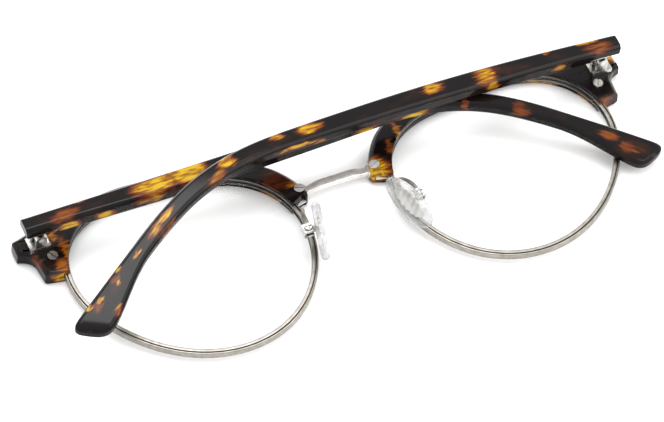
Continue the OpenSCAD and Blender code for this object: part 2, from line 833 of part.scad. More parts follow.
// Curl of the ears towards the head, from the left ear's room above the right eyewire and the table
rim_x = lens_x + lens_rad(0) + wire_out + hinge_x + butt_l;
rim_reach = bend_to + (rim_x - path_pt(bend_to, path_left)[0]) / cos(bend_a) - curl_from;
tip_reach = temple_l - curl_from;
tip_room = hinge_z + axis_depth - temple_tip_t - tip_gap + 2 * hinge_x * tan(tilt_left);
curl = min((tip_room - wire_back) / (rim_reach * rim_reach), tip_room / (tip_reach * tip_reach));

// A side holds a temple's drop, curl, sag and path
left_side = [drop_left, curl, sag_left, path_left];
right_side = [drop_right, curl, sag_right, path_right];

// Tilt of the upper temple, from the thickness of the lower one wherever the two may cross
cross_slack = 1;
cross_t = temple_mid_t + (temple_t - temple_mid_t) / 2 + stack_gap;
function cross_tilt(s) = let (x = path_pt(s, path_left)[0])
    atan((cross_t + x * tan(tilt_left) + curl_at(s, curl)) / (2 * hinge_x + butt_l - x));
tilt_right = max([for (k = [0 : path_steps]) let (s = k * path_step)
    if (top_pt(s, left_side)[1] > temple_h / 2 - temple_mid_h - cross_slack) cross_tilt(s)]);

// Point, direction, height and thickness of a temple at length s
function top_pt(s, side) = let (p = path_pt(s, side[3]))
    [p[0] * cos(side[0]) + p[1] * sin(side[0]) - butt_l,
     p[1] * cos(side[0]) - p[0] * sin(side[0]) + temple_h / 2];
function turn_at(s, side) = side[0] + bend_at(s, side[2]);
mid_s = bend_from / 2;
function high_at(s) = s < mid_s ? mix(temple_h, temple_mid_h, ease(s / mid_s))
    : s < bend_to ? mix(temple_mid_h, temple_neck_h, ease((s - mid_s) / (bend_to - mid_s)))
    : mix(temple_neck_h, temple_tip_h, ease((s - bend_to) / (temple_l - bend_to)));
function thick_at(s) = s < curl_from ? mix(temple_t, temple_mid_t, s / curl_from)
    : mix(temple_mid_t, temple_tip_t, (s - curl_from) / (temple_l - curl_from));
function curl_at(s, c) = -c * pow(max(0, s - curl_from), 2);

temple_steps = 30;
// Rounded tip: its steps, its length and how far round the last step lies
cap_steps = 7;
cap_l = temple_tip_h / 2;
cap_turn = 84;
// How blunt the tip is: 1 is a half round
cap_blunt = 1.6;
// How much of the bevels is left at the very tip
bevel_keep = 0.5;
temple_path = concat(
    [for (k = [0 : temple_steps]) [(temple_l - cap_l) * k / temple_steps, 1]],
    [for (k = [1 : cap_steps]) let (a = k * cap_turn / cap_steps)
        [temple_l - cap_l + cap_l * pow(sin(a), 1 / cap_blunt), pow(cos(a), 1 / cap_blunt)]]);

function temple_ring(s, share, side) = let (p = top_pt(s, side), a = turn_at(s, side), full = high_at(s),
    h = full * share, w0 = (full - h) / 2, t = thick_at(s), z = axis_depth + curl_at(s, side[1]),
    b = temple_bevel * mix(bevel_keep, 1, share), c = temple_bevel_in * mix(bevel_keep, 1, share),
    skew = tip_skew * ease((s - bend_to) / (temple_l - bend_to)),
    q = [[w0 + b * share, z], [w0 + h - b * share, z], [w0 + h, z - b], [w0 + h, z - t + c],
        [w0 + h - c * share, z - t], [w0 + c * share, z - t], [w0, z - t + c], [w0, z - b]])
    [for (e = q) let (along = skew * (full / 2 - e[0]))
        [p[0] + along * cos(a) - e[0] * sin(a), p[1] - along * sin(a) - e[0] * cos(a), e[1]]];

// Recess of the hinge leaf, and the stretch of the wire core with its run down to mid thickness
recess_end = leaf_l + fit;
leaf_z = axis_depth - temple_t + recess_d;
core_start = butt_l + recess_end + fit;
core_end = temple_l - temple_tip_h;
core_blend = 14;
core_steps = 22;

function core_pt(s, side) = let (p = top_pt(s, side), a = turn_at(s, side), h = high_at(s) / 2,
    deep = mix(temple_t - recess_d + leaf_t / 2, thick_at(s) / 2, ease((s - core_start) / core_blend)))
    [p[0] - h * sin(a), p[1] - h * cos(a), axis_depth + curl_at(s, side[1]) - deep];

function core_ring(k, r, side) = let (s = mix(core_start, core_end, k / core_steps), p = core_pt(s, side),
    a = turn_at(s, side)) [for (j = [0 : wire_fn - 1]) let (b = (j + 0.5) * 360 / wire_fn)
    p + r * [-cos(b) * sin(a), -cos(b) * cos(a), -sin(b)]];

module temple_core(r, side) {
    loft([for (k = [0 : core_steps]) core_ring(k, r, side)]);
}

module temple(side) {
    difference() {
        loft([for (e = temple_path) temple_ring(e[0], e[1], side)]);
        translate([-butt_l - over, -temple_h, -over])
            cube([butt_l + over + recess_end, 2 * temple_h, leaf_z + over]);
        temple_core(core_d / 2 + fit, side);
    }
}

module at_hinge(tilt) {
    translate([-hinge_x, hinge_y, hinge_z]) rotate([0, -tilt, 0]) children();
}

module temple_left() {
    color(acetate) place() at_hinge(tilt_left) temple(left_side);
}

module temple_right() {
    color(acetate) place_left() at_hinge(tilt_right) temple(right_side);
}

module core_left() {
    color(silver) place() at_hinge(tilt_left) temple_core(core_d / 2, left_side);
}

module core_right() {
    color(silver) place_left() at_hinge(tilt_right) temple_core(core_d / 2, right_side);
}

// Hinge leaf in the temple, in the temple's frame

module barrel(y0, length) {
    translate([0, y0, 0]) rotate([-90, 0, 0]) cylinder(r = knuckle_r, h = length, $fn = round_fn);
}

module barrel_bore() {
    translate([0, -temple_h, 0]) rotate([-90, 0, 0])
        cylinder(r = screw_r + screw_fit, h = 2 * temple_h, $fn = round_fn);
}

// Width of the hinge leaf
leaf_h = 3;

module hinge_leaf() {
    difference() {
        union() {
            barrel(-knuckle_mid_l / 2, knuckle_mid_l);
            translate([-knuckle_r, -knuckle_mid_l / 2, 0])
                cube([2 * knuckle_r, knuckle_mid_l, leaf_z - leaf_t + tie]);
            translate([-knuckle_r, -leaf_h / 2, leaf_z - leaf_t]) cube([knuckle_r + leaf_l, leaf_h, leaf_t]);
        }
        barrel_bore();
    }
}

module hinge_leaf_left() {
    color(silver) place() at_hinge(tilt_left) hinge_leaf();
}

module hinge_leaf_right() {
    color(silver) place_left() at_hinge(tilt_right) hinge_leaf();
}

// Hinge plate on the brow with its two knuckles, and the hinge screw

// Distance from the hinge's middle to each front knuckle
barrel_y = knuckle_mid_l / 2 + knuckle_gap;

module front_knuckle(y0) {
    barrel(y0, knuckle_l);
    translate([-knuckle_r, y0, brow_t + plate_t - tie - hinge_z])
        cube([2 * knuckle_r, knuckle_l, hinge_z - brow_t - plate_t + tie]);
}

module hinge_plate() {
    translate([hinge_x, hinge_y, hinge_z]) difference() {
        union() {
            front_knuckle(barrel_y);
            front_knuckle(-barrel_y - knuckle_l);
        }
        barrel_bore();
    }
    translate([plate_x - plate_w, hinge_y - plate_h / 2, brow_t]) cube([plate_w, plate_h, plate_t]);
    translate([plate_x - stop_t, hinge_y - plate_h / 2, brow_t]) cube([stop_t, plate_h, stop_h]);
    translate([plate_x - plate_w, hinge_y - plate_h / 2, brow_t]) cube([plate_w, stop_t, stop_h]);
    translate([plate_x - plate_w / 2 - anchor_w / 2, hinge_y - anchor_h / 2, brow_t - anchor_d])
        cube([anchor_w, anchor_h, anchor_d + tie]);
}

module hinge_screw() {
    translate([hinge_x, hinge_y + barrel_y + knuckle_l + head_t, hinge_z]) rotate([-90, 0, 0])
        screw(screw_r, screw_head_r, head_t, head_t + 2 * (barrel_y + knuckle_l), hinge_slot);
}

module hinge_plate_right() {
    color(silver) place() hinge_plate();
}

module hinge_plate_left() {
    color(silver) place_left() hinge_plate();
}

module hinge_screw_right() {
    color(silver) place() hinge_screw();
}

module hinge_screw_left() {
    color(silver) place_left() hinge_screw();
}

bridge();
brow_left();
brow_right();
rim_left();
rim_right();
lens_left();
lens_right();
lock_left();
lock_right();
lug_left();
lug_right();
lock_screw_left();
lock_screw_right();
nose_screw_left();
nose_screw_right();
end_screw_left();
end_screw_right();
arm_left();
arm_right();
box_left();
box_right();
pad_screw_left();
pad_screw_right();
insert_left();
insert_right();
pad_left();
pad_right();
hinge_plate_left();
hinge_plate_right();
hinge_screw_left();
hinge_screw_right();
hinge_leaf_left();
hinge_leaf_right();
temple_left();
temple_right();
core_left();
core_right();
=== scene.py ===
"""Browline eyeglasses, folded and lying on their front, for a product photograph.

+X is the wearer's right, +Y the brow side and +Z the wearer's side. Sizes in the
classes are millimetres, and meshes are scaled to metres as they are built. Paired
pieces are drawn on the right side, and the left ones are their mirror images.
"""

import logging
import math
from collections.abc import Callable, Sequence
from dataclasses import dataclass, field
from enum import Enum

import bmesh
import bpy
from mathutils import Matrix, Vector


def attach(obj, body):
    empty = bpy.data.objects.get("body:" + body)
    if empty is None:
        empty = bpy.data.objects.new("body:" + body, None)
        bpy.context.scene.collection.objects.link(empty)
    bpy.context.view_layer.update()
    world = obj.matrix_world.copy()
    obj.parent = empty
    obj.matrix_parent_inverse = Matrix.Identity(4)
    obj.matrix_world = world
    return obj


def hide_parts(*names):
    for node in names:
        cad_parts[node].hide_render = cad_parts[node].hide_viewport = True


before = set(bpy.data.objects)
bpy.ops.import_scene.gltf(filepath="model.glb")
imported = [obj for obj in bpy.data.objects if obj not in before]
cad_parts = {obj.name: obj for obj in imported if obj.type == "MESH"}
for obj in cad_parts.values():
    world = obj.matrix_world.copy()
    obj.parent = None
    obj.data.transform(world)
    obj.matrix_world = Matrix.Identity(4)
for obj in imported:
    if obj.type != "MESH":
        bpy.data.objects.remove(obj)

log = logging.getLogger("eyeglasses")

MM = 0.001
PER_MM = (1 / MM, 1 / MM, 1 / MM)
# Y is drawn from the lens centres, and the frame's from the middle of the whole
SHIFT_Y = -0.0974624
GRAIN = "grain"
HALF_TONE = (0.5, 0.5, 0.5)
# signs of the corners of an oblong
CORNERS = ((-1, -1), (1, -1), (1, 1), (-1, 1))
UPWARD = Vector((0, 0, 1))

Ring = list[Vector]
Triple = tuple[float, float, float]
# low and high end of a value, and the results there
Span = tuple[float, float, float, float]
# pairs of a place on a ramp and its linear colour
Stops = tuple[tuple[float, Triple], ...]
# an angle on the lens outline and the point of the brow's outer edge beside it
Mark = tuple[float, Vector]


class Side(Enum):
    """The two halves of the frame, by the sign of X."""

    LEFT = -1
    RIGHT = 1

    @property
    def tag(self) -> str:
        """Ending of this side's node names."""
        return self.name.lower()

    @property
    def other(self) -> "Side":
        """The opposite side."""
        return Side(-self.value)


class Body(Enum):
    """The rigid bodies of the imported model."""

    FRONT = "front"
    TEMPLE = "temple"
    PAD = "pad"

    def of(self, side: Side) -> str:
        """Name of this body on one side."""
        return self.value if self is Body.FRONT else f"{self.value}_{side.tag}"


class Slot(Enum):
    """The record's material slots."""

    ACETATE = "acetate"
    METAL = "metal"
    LENS = "lens"
    SILICONE = "silicone"


# ---------------------------------------------------------------- curves and lofts


def ease(value: float) -> float:
    """Smooth step from 0 to 1."""
    u = min(1.0, max(0.0, value))
    return u * u * (3 - 2 * u)


def mix(low: float, high: float, share: float) -> float:
    """Value between two values."""
    return low + (high - low) * share


def bow(start: Vector, pull: Vector, end: Vector, t: float) -> Vector:
    """Point of a curve from start to end that a third point pulls aside."""
    return start * (1 - t) ** 2 + pull * (2 * t * (1 - t)) + end * t * t


def cubic(points: Sequence[Vector], steps: int) -> list[Vector]:
    """Points along a cubic curve.

    Args:
        points: The curve's four control points.
        steps: Steps along the curve.

    Returns:
        The points, one more than the steps.
    """
    p, q, r, s = points
    out = []
    for k in range(steps + 1):
        t = k / steps
        u = 1 - t
        out.append(p * u**3 + q * (3 * u * u * t) + r * (3 * u * t * t) + s * t**3)
    return out


def soften(corners: Sequence[Vector], radii: Sequence[float], steps: int) -> Ring:
    """Rounds the corners of a closed ring.

    Args:
        corners: The ring's corners.
        radii: How far each rounding reaches along its two sides; 0 keeps a corner.
        steps: Segments of one rounding.

    Returns:
        The rounded ring.
    """
    out: Ring = []
    count = len(corners)
    for i, (corner, radius) in enumerate(zip(corners, radii)):
        if radius <= 0:
            out.append(corner.copy())
            continue
        before, after = corners[i - 1], corners[(i + 1) % count]
        start = corner + (before - corner).normalized() * radius
        end = corner + (after - corner).normalized() * radius
        out += [bow(start, corner, end, k / steps) for k in range(steps + 1)]
    return out


def shrunk(ring: Sequence[Vector], share: float) -> Ring:
    """The ring scaled about its middle."""
    middle = sum(ring, Vector()) / len(ring)
    return [middle + (point - middle) * share for point in ring]


def end_rings(first: Ring, second: Ring, reach: float, steps: int, depth: float) -> list[Ring]:
    """Rings that round one end of a loft.

    Args:
        first: The loft's very last ring at this end.
        second: The ring next to it.
        reach: Length of the rounding along the loft.
        steps: Rings added.
        depth: Share by which the very last ring shrinks.

    Returns:
        The rings from the end inwards, before the second ring.
    """
    gap = max(1e-6, (second[0] - first[0]).length)
    out = []
    for k in range(steps + 1):
        angle = math.radians(90 * k / steps)
        t = min(0.95, reach * (1 - math.cos(angle)) / gap)
        ring = [p.lerp(q, t) for p, q in zip(first, second)]
        out.append(shrunk(ring, 1 - depth * (1 - math.sin(angle))))
    return out


def rounded_ends(rings: list[Ring], reach: float, depth: float, steps: int = 3) -> list[Ring]:
    """Rounds both ends of a loft within its length.

    Args:
        rings: The loft's rings.
        reach: Length of the rounding along the loft.
        depth: Share by which the very last rings shrink.
        steps: Rings added at each end.

    Returns:
        The rings with rounded ends.
    """
    head = end_rings(rings[0], rings[1], reach, steps, depth)
    tail = end_rings(rings[-1], rings[-2], reach, steps, depth)
    return head + rings[1:-1] + tail[::-1]


def circle(centre: Vector, across: Vector, over: Vector, radius: float, sides: int) -> Ring:
    """Circle in the plane of two directions at right angles, from the first of them."""
    turns = [2 * math.pi * k / sides for k in range(sides)]
    return [centre + (across * math.cos(a) + over * math.sin(a)) * radius for a in turns]


def rod(path: Sequence[Vector], radius: float, sides: int = 20) -> list[Ring]:
    """Rings of a round wire along a path, with softened ends.

    Args:
        path: Points along the wire.
        radius: Radius of the wire.
        sides: Points round the wire.

    Returns:
        The wire's rings.
    """
    rings = []
    normal = (path[1] - path[0]).orthogonal().normalized()
    for i, point in enumerate(path):
        way = (path[min(i + 1, len(path) - 1)] - path[max(i - 1, 0)]).normalized()
        normal = (normal - way * normal.dot(way)).normalized()
        rings.append(circle(point, normal, way.cross(normal), radius, sides))
    return rounded_ends(rings, radius * 0.6, 0.5)


def turned(
    centre: Vector, axis: Vector, profile: Sequence[tuple[float, float]], sides: int
) -> list[Ring]:
    """Rings of a turned piece.

    Args:
        centre: Where the profile's height is 0.
        axis: Direction of the piece's axis.
        profile: Pairs of height and radius.
        sides: Points round the axis.

    Returns:
        The piece's rings.
    """
    way = axis.normalized()
    side = way.orthogonal().normalized()
    over = way.cross(side)
    return [circle(centre + way * height, side, over, radius, sides) for height, radius in profile]


def skin(mesh: bmesh.types.BMesh, rings: Sequence[Ring], mirror: bool) -> None:
    """Adds a closed loft through rings to a mesh.

    Args:
        mesh: The mesh that takes the loft.
        rings: Rings of equal counts, in millimetres.
        mirror: True to mirror the loft in X.
    """
    flip = -1 if mirror else 1
    rows = [
        [mesh.verts.new((p.x * flip * MM, (p.y + SHIFT_Y) * MM, p.z * MM)) for p in ring]
        for ring in rings
    ]
    count = len(rows[0])
    faces = [mesh.faces.new(rows[0]), mesh.faces.new(rows[-1][::-1])]
    for low, high in zip(rows, rows[1:]):
        for k in range(count):
            n = (k + 1) % count
            faces.append(mesh.faces.new((low[k], high[k], high[n], low[n])))
    bmesh.ops.recalc_face_normals(mesh, faces=faces)


def loft_mesh(name: str, lofts: Sequence[Sequence[Ring]], side: Side) -> bpy.types.Mesh:
    """Mesh of one or more closed lofts.

    Args:
        name: The mesh's name.
        lofts: The lofts' rings, drawn on the right side.
        side: The side that the mesh is for.

    Returns:
        The mesh.
    """
    work = bmesh.new()
    for rings in lofts:
        skin(work, rings, side is Side.LEFT)
    mesh = bpy.data.meshes.new(name)
    work.to_mesh(mesh)
    work.free()
    return mesh


def new_object(name: str, data: bpy.types.ID) -> bpy.types.Object:
    """Adds an object to the scene.

    Args:
        name: Its name.
        data: Its mesh, lamp or camera.

    Returns:
        The object.
    """
    obj = bpy.data.objects.new(name, data)
    bpy.context.scene.collection.objects.link(obj)
    return obj


# ---------------------------------------------------------------- finishes


class Graph:
    """Builds the node tree of one material."""

    def __init__(self, name: str) -> None:
        """Starts an empty tree with an output.

        Args:
            name: The material's name.
        """
        self.material = bpy.data.materials.new(name)
        self.material.use_nodes = True
        self.tree = self.material.node_tree
        self.tree.nodes.clear()
        self.output = self.tree.nodes.new("ShaderNodeOutputMaterial")

    def add(self, kind: str, **settings: object) -> bpy.types.Node:
        """Adds a node and sets its properties.

        Args:
            kind: The node's type.
            **settings: Its properties by name.

        Returns:
            The node.
        """
        node = self.tree.nodes.new(kind)
        for key, value in settings.items():
            setattr(node, key, value)
        return node

    def feed(self, target: bpy.types.NodeSocket, source: object) -> None:
        """Links a socket to another one, or sets its value.

        Args:
            target: The input socket.
            source: An output socket, or a plain value.
        """
        if isinstance(source, bpy.types.NodeSocket):
            self.tree.links.new(source, target)
        else:
            target.default_value = source

    def math(self, operation: str, *values: object) -> bpy.types.NodeSocket:
        """Works out a number.

        Args:
            operation: The Math node's operation.
            *values: Its inputs, sockets or numbers.

        Returns:
            The result's socket.
        """
        node = self.add("ShaderNodeMath", operation=operation)
        for socket, value in zip(node.inputs, values):
            self.feed(socket, value)
        return node.outputs[0]

    def vector(self, operation: str, *values: object) -> bpy.types.NodeSocket:
        """Works out a vector, or the length of one.

        Args:
            operation: The Vector Math node's operation.
            *values: Its inputs, sockets or triples.

        Returns:
            The result's socket.
        """
        node = self.add("ShaderNodeVectorMath", operation=operation)
        for socket, value in zip(node.inputs, values):
            self.feed(socket, value)
        return node.outputs["Value" if operation == "LENGTH" else "Vector"]

    def noise(self, place: bpy.types.NodeSocket, scale: float, detail: float) -> bpy.types.Node:
        """Adds a noise texture.

        Args:
            place: Where it is read.
            scale: Its scale.
            detail: Its octaves.

        Returns:
            The node.
        """
        node = self.add("ShaderNodeTexNoise")
        self.feed(node.inputs["Vector"], place)
        node.inputs["Scale"].default_value = scale
        node.inputs["Detail"].default_value = detail
        return node

    def drift(self, scale: float, detail: float) -> bpy.types.NodeSocket:
        """Slow drift of tone over the piece, from its place in millimetres."""
        place = self.vector("MULTIPLY", self.add("ShaderNodeTexCoord").outputs["Object"], PER_MM)
        return self.noise(place, scale, detail).outputs["Fac"]

    def span(self, value: object, span: Span) -> bpy.types.NodeSocket:
        """Maps a value smoothly from one span to another.

        Args:
            value: The value to map.
            span: Low and high end of the value, and the results there.

        Returns:
            The mapped value.
        """
        node = self.add("ShaderNodeMapRange", interpolation_type="SMOOTHSTEP")
        for socket, item in zip(node.inputs, (value, *span)):
            self.feed(socket, item)
        return node.outputs["Result"]

    def ramp(self, value: bpy.types.NodeSocket, stops: Stops) -> bpy.types.NodeSocket:
        """Colour of a value on a ramp.

        Args:
            value: The value.
            stops: Pairs of place and linear colour.

        Returns:
            The colour's socket.
        """
        node = self.add("ShaderNodeValToRGB")
        elements = node.color_ramp.elements
        while len(elements) < len(stops):
            elements.new(1.0)
        for element, (place, colour) in zip(elements, stops):
            element.position = place
            element.color = (*colour, 1.0)
        self.feed(node.inputs["Fac"], value)
        return node.outputs["Color"]

    def principled(self, colour: bpy.types.NodeSocket, roughness: float) -> bpy.types.Node:
        """Adds the main shader.

        Args:
            colour: Its base colour.
            roughness: Its roughness.

        Returns:
            The shader's node.
        """
        shader = self.add("ShaderNodeBsdfPrincipled")
        self.feed(shader.inputs["Base Color"], colour)
        shader.inputs["Roughness"].default_value = roughness
        return shader

    def finished(self, shader: bpy.types.Node) -> bpy.types.Material:
        """The material, with a shader on its surface."""
        self.feed(self.output.inputs["Surface"], shader.outputs[0])
        return self.material


@dataclass(frozen=True)
class Patch:
    """One lighter patch in the acetate, in the acetate's own millimetres."""

    at: Triple
    size: Triple
    tone: float


@dataclass(frozen=True)
class Tortoise:
    """Polished tortoise acetate: patches set one by one, which noise warps, frays and streaks."""

    name: str
    patches: tuple[Patch, ...]
    seed: float
    roughness: float = 0.13
    ior: float = 1.5
    shaded_side_gloss: float = 0.12
    face_gloss: float = 0.195
    warp: Triple = (2.4, 1.6, 1.6)
    warp_scale: float = 0.30
    fray: Triple = (3.4, 0.85, 0.85)
    fray_stretch: Triple = (0.45, 2.6, 1.8)
    fray_scale: float = 0.8
    streak_stretch: Triple = (0.3, 2.0, 1.4)
    streak_scale: float = 0.9
    streak_span: Span = (0.32, 0.60, 0.66, 1.06)
    cloud_stretch: Triple = (0.5, 1.0, 0.8)
    cloud_scale: float = 0.24
    cloud_span: Span = (0.50, 0.78, 0.0, 0.33)
    patch_core: float = 0.5
    patch_end: float = 1.3
    side_level: float = 0.15
    face_level: float = 0.85
    stops: Stops = (
        (0.0, (0.004, 0.003, 0.003)),
        (0.25, (0.018, 0.007, 0.004)),
        (0.5, (0.105, 0.022, 0.006)),
        (0.70, (0.20, 0.066, 0.006)),
        (0.86, (0.31, 0.162, 0.008)),
        (1.0, (0.49, 0.295, 0.012)),
    )

    def build(self) -> bpy.types.Material:
        """Makes the material.

        Returns:
            The material.
        """
        g = Graph(self.name)
        grain = g.add("ShaderNodeAttribute", attribute_name=GRAIN).outputs["Vector"]
        shifted = g.vector("ADD", grain, (self.seed, self.seed * 0.7, self.seed * 0.4))
        place = self.bent(g, grain, shifted)
        wide = g.vector("MULTIPLY", shifted, self.cloud_stretch)
        clouds = g.noise(wide, self.cloud_scale, detail=3.0).outputs["Fac"]
        tone = g.span(clouds, self.cloud_span)
        for patch in self.patches:
            tone = g.math("MAXIMUM", tone, self.patch_tone(g, place, patch))
        along = g.vector("MULTIPLY", shifted, self.streak_stretch)
        streaks = g.noise(along, self.streak_scale, detail=4.0).outputs["Fac"]
        tone = g.math("MULTIPLY", tone, g.span(streaks, self.streak_span))
        shader = g.principled(g.ramp(tone, self.stops), self.roughness)
        shader.inputs["IOR"].default_value = self.ior
        # one level for all faces, where an export drops the link
        shader.inputs["Specular IOR Level"].default_value = self.face_gloss
        # the specular level drops on the sides, which paints shade on them
        g.feed(shader.inputs["Specular IOR Level"], self.gloss(g))
        return g.finished(shader)

    def bent(
        self, g: Graph, grain: bpy.types.NodeSocket, shifted: bpy.types.NodeSocket
    ) -> bpy.types.NodeSocket:
        """Place in the acetate, warped in wide waves and frayed along the piece.

        Args:
            g: The material's graph.
            grain: Place in the acetate.
            shifted: The same place, moved by the seed.

        Returns:
            The bent place.
        """
        wide = g.noise(shifted, self.warp_scale, detail=3.0)
        waves = g.vector("SUBTRACT", wide.outputs["Color"], HALF_TONE)
        place = g.vector("ADD", grain, g.vector("MULTIPLY", waves, self.warp))
        along = g.vector("MULTIPLY", shifted, self.fray_stretch)
        fine = g.noise(along, self.fray_scale, detail=3.0)
        threads = g.vector("SUBTRACT", fine.outputs["Color"], HALF_TONE)
        return g.vector("ADD", place, g.vector("MULTIPLY", threads, self.fray))

    def patch_tone(
        self, g: Graph, place: bpy.types.NodeSocket, patch: Patch
    ) -> bpy.types.NodeSocket:
        """Tone of one patch: full in its core and gone at its end.

        Args:
            g: The material's graph.
            place: Bent place in the acetate.
            patch: The patch.

        Returns:
            The patch's tone.
        """
        scaled = g.vector("DIVIDE", g.vector("SUBTRACT", place, patch.at), patch.size)
        span = (self.patch_core, self.patch_end, patch.tone, 0.0)
        return g.span(g.vector("LENGTH", scaled), span)

    def gloss(self, g: Graph) -> bpy.types.NodeSocket:
        """Specular level: full on the wide faces and lower on the sides, which paints shade on the
        sides.

        Args:
            g: The material's graph.

        Returns:
            The level.
        """
        parts = g.add("ShaderNodeSeparateXYZ")
        g.feed(parts.inputs[0], g.add("ShaderNodeTexCoord").outputs["Normal"])
        level = g.math("ABSOLUTE", parts.outputs["Z"])
        return g.span(level, (self.side_level, self.face_level, self.shaded_side_gloss, self.face_gloss))


@dataclass(frozen=True)
class Nickel:
    """Polished nickel silver with a faintly uneven colour, darkened all over as painted shade, and
    painted shade in its crevices.

    The crevice shade is painted where other surfaces lie up to reach away, on the piece alone or
    between pieces too.
    """

    name: str = "nickel_silver"
    dark: Triple = (0.23, 0.212, 0.187)
    light: Triple = (0.35, 0.328, 0.295)
    painted_crevice_shade: Triple = (0.02, 0.018, 0.016)
    reach: float = 0.45
    alone: bool = True
    roughness: float = 0.34
    drift: float = 0.8
    samples: int = 12
    open_span: Span = (0.25, 0.72, 0.0, 1.0)

    def build(self) -> bpy.types.Material:
        """Makes the material.

        Returns:
            The material.
        """
        g = Graph(self.name)
        drift = g.drift(self.drift, detail=4.0)
        # painted shade: ambient occlusion darkens the colour where other surfaces lie near
        hollow = g.add("ShaderNodeAmbientOcclusion", samples=self.samples, only_local=self.alone)
        hollow.inputs["Distance"].default_value = self.reach * MM
        tone = g.math("MULTIPLY", drift, g.span(hollow.outputs["AO"], self.open_span))
        stops = ((0.05, self.painted_crevice_shade), (0.3, self.dark), (0.7, self.light))
        shader = g.principled(g.ramp(tone, stops), self.roughness)
        shader.inputs["Metallic"].default_value = 1.0
        return g.finished(shader)


@dataclass(frozen=True)
class LitNickel(Nickel):
    """Brushed nickel silver of the bridge and the pad inserts, a lighter copy that paints the light
    on them.
    """

    name: str = "lit_nickel"
    dark: Triple = (0.68, 0.665, 0.635)
    light: Triple = (0.85, 0.835, 0.80)
    roughness: float = 0.42


@dataclass(frozen=True)
class HingeNickel(Nickel):
    """Nickel silver of hinges, pad boxes and end screws, a lighter copy that paints the light on
    them, with painted shade between the pieces.
    """

    name: str = "hinge_nickel"
    dark: Triple = (0.40, 0.385, 0.36)
    light: Triple = (0.62, 0.605, 0.575)
    reach: float = 1.3
    alone: bool = False
    roughness: float = 0.26


@dataclass(frozen=True)
class ScrewSteel(Nickel):
    """Less polished metal of the other screws, a lighter copy that paints the light on their heads,
    with painted shade in their slots and seats.
    """

    name: str = "screw_steel"
    dark: Triple = (0.66, 0.66, 0.66)
    light: Triple = (0.88, 0.88, 0.88)
    reach: float = 0.5
    alone: bool = False
    roughness: float = 0.46


@dataclass(frozen=True)
class ClearLens:
    """Clear lens that lets light straight through and mirrors more of it at a low angle."""

    name: str = "clear_lens"
    through: Triple = (0.998, 0.999, 0.999)
    tint: Triple = (0.990, 0.994, 0.993)
    face_gloss: float = 0.006
    low_gloss: float = 0.3
    low_from: float = 0.55
    roughness: float = 0.02
    drift: float = 0.05

    def build(self) -> bpy.types.Material:
        """Makes the material.

        Returns:
            The material.
        """
        g = Graph(self.name)
        stops = ((0.3, self.tint), (0.5, self.through))
        clear = g.add("ShaderNodeBsdfTransparent")
        g.feed(clear.inputs["Color"], g.ramp(g.drift(self.drift, detail=1.0), stops))
        gloss = g.add("ShaderNodeBsdfGlossy")
        gloss.inputs["Roughness"].default_value = self.roughness
        facing = g.add("ShaderNodeLayerWeight").outputs["Facing"]
        both = g.add("ShaderNodeMixShader")
        share = g.span(facing, (self.low_from, 1.0, self.face_gloss, self.low_gloss))
        for socket, source in zip(both.inputs, (share, clear.outputs[0], gloss.outputs[0])):
            g.feed(socket, source)
        return g.finished(both)


@dataclass(frozen=True)
class GroundEdge:
    """Ground edge of a lens, with painted shade: coloured dark, the way it looks through the lens
    faces.
    """

    name: str = "ground_lens_edge"
    dark: Triple = (0.012, 0.010, 0.010)
    light: Triple = (0.05, 0.045, 0.042)
    roughness: float = 0.45
    drift: float = 0.7

    def build(self) -> bpy.types.Material:
        """Makes the material.

        Returns:
            The material.
        """
        g = Graph(self.name)
        stops = ((0.35, self.dark), (0.75, self.light))
        tone = g.drift(self.drift, detail=3.0)
        return g.finished(g.principled(g.ramp(tone, stops), self.roughness))


@dataclass(frozen=True)
class ClearSilicone:
    """Soft clear silicone, milkier where it is seen edge on."""

    name: str = "clear_silicone"
    body: Triple = (0.22, 0.225, 0.225)
    haze: Triple = (0.56, 0.56, 0.56)
    face_alpha: float = 0.38
    edge_alpha: float = 0.86
    roughness: float = 0.10
    drift: float = 0.55

    def build(self) -> bpy.types.Material:
        """Makes the material.

        Returns:
            The material.
        """
        g = Graph(self.name)
        stops = ((0.38, self.body), (0.62, self.haze))
        tone = g.drift(self.drift, detail=3.0)
        shader = g.principled(g.ramp(tone, stops), self.roughness)
        facing = g.add("ShaderNodeLayerWeight").outputs["Facing"]
        alpha = g.span(facing, (0.35, 0.95, self.face_alpha, self.edge_alpha))
        g.feed(shader.inputs["Alpha"], alpha)
        return g.finished(shader)


@dataclass(frozen=True)
class Paper:
    """Plain pale paper under the glasses."""

    name: str = "pale_paper"
    low: Triple = (0.90, 0.90, 0.90)
    high: Triple = (0.92, 0.92, 0.92)
    drift: float = 4.0

    def build(self) -> bpy.types.Material:
        """Makes the material.

        Returns:
            The material.
        """
        g = Graph(self.name)
        place = g.add("ShaderNodeTexCoord").outputs["Object"]
        tone = g.noise(place, self.drift, detail=2.0).outputs["Fac"]
        shader = g.add("ShaderNodeBsdfDiffuse")
        g.feed(shader.inputs["Color"], g.ramp(tone, ((0.3, self.low), (0.7, self.high))))
        return g.finished(shader)


@dataclass
class Palette:
    """The finishes that several pieces share."""

    metal: bpy.types.Material = field(default_factory=Nickel().build)
    bright: bpy.types.Material = field(default_factory=LitNickel().build)
    hinge: bpy.types.Material = field(default_factory=HingeNickel().build)
    steel: bpy.types.Material = field(default_factory=ScrewSteel().build)
    lens: bpy.types.Material = field(default_factory=ClearLens().build)
    ground: bpy.types.Material = field(default_factory=GroundEdge().build)
    silicone: bpy.types.Material = field(default_factory=ClearSilicone().build)


# ---------------------------------------------------------------- pieces


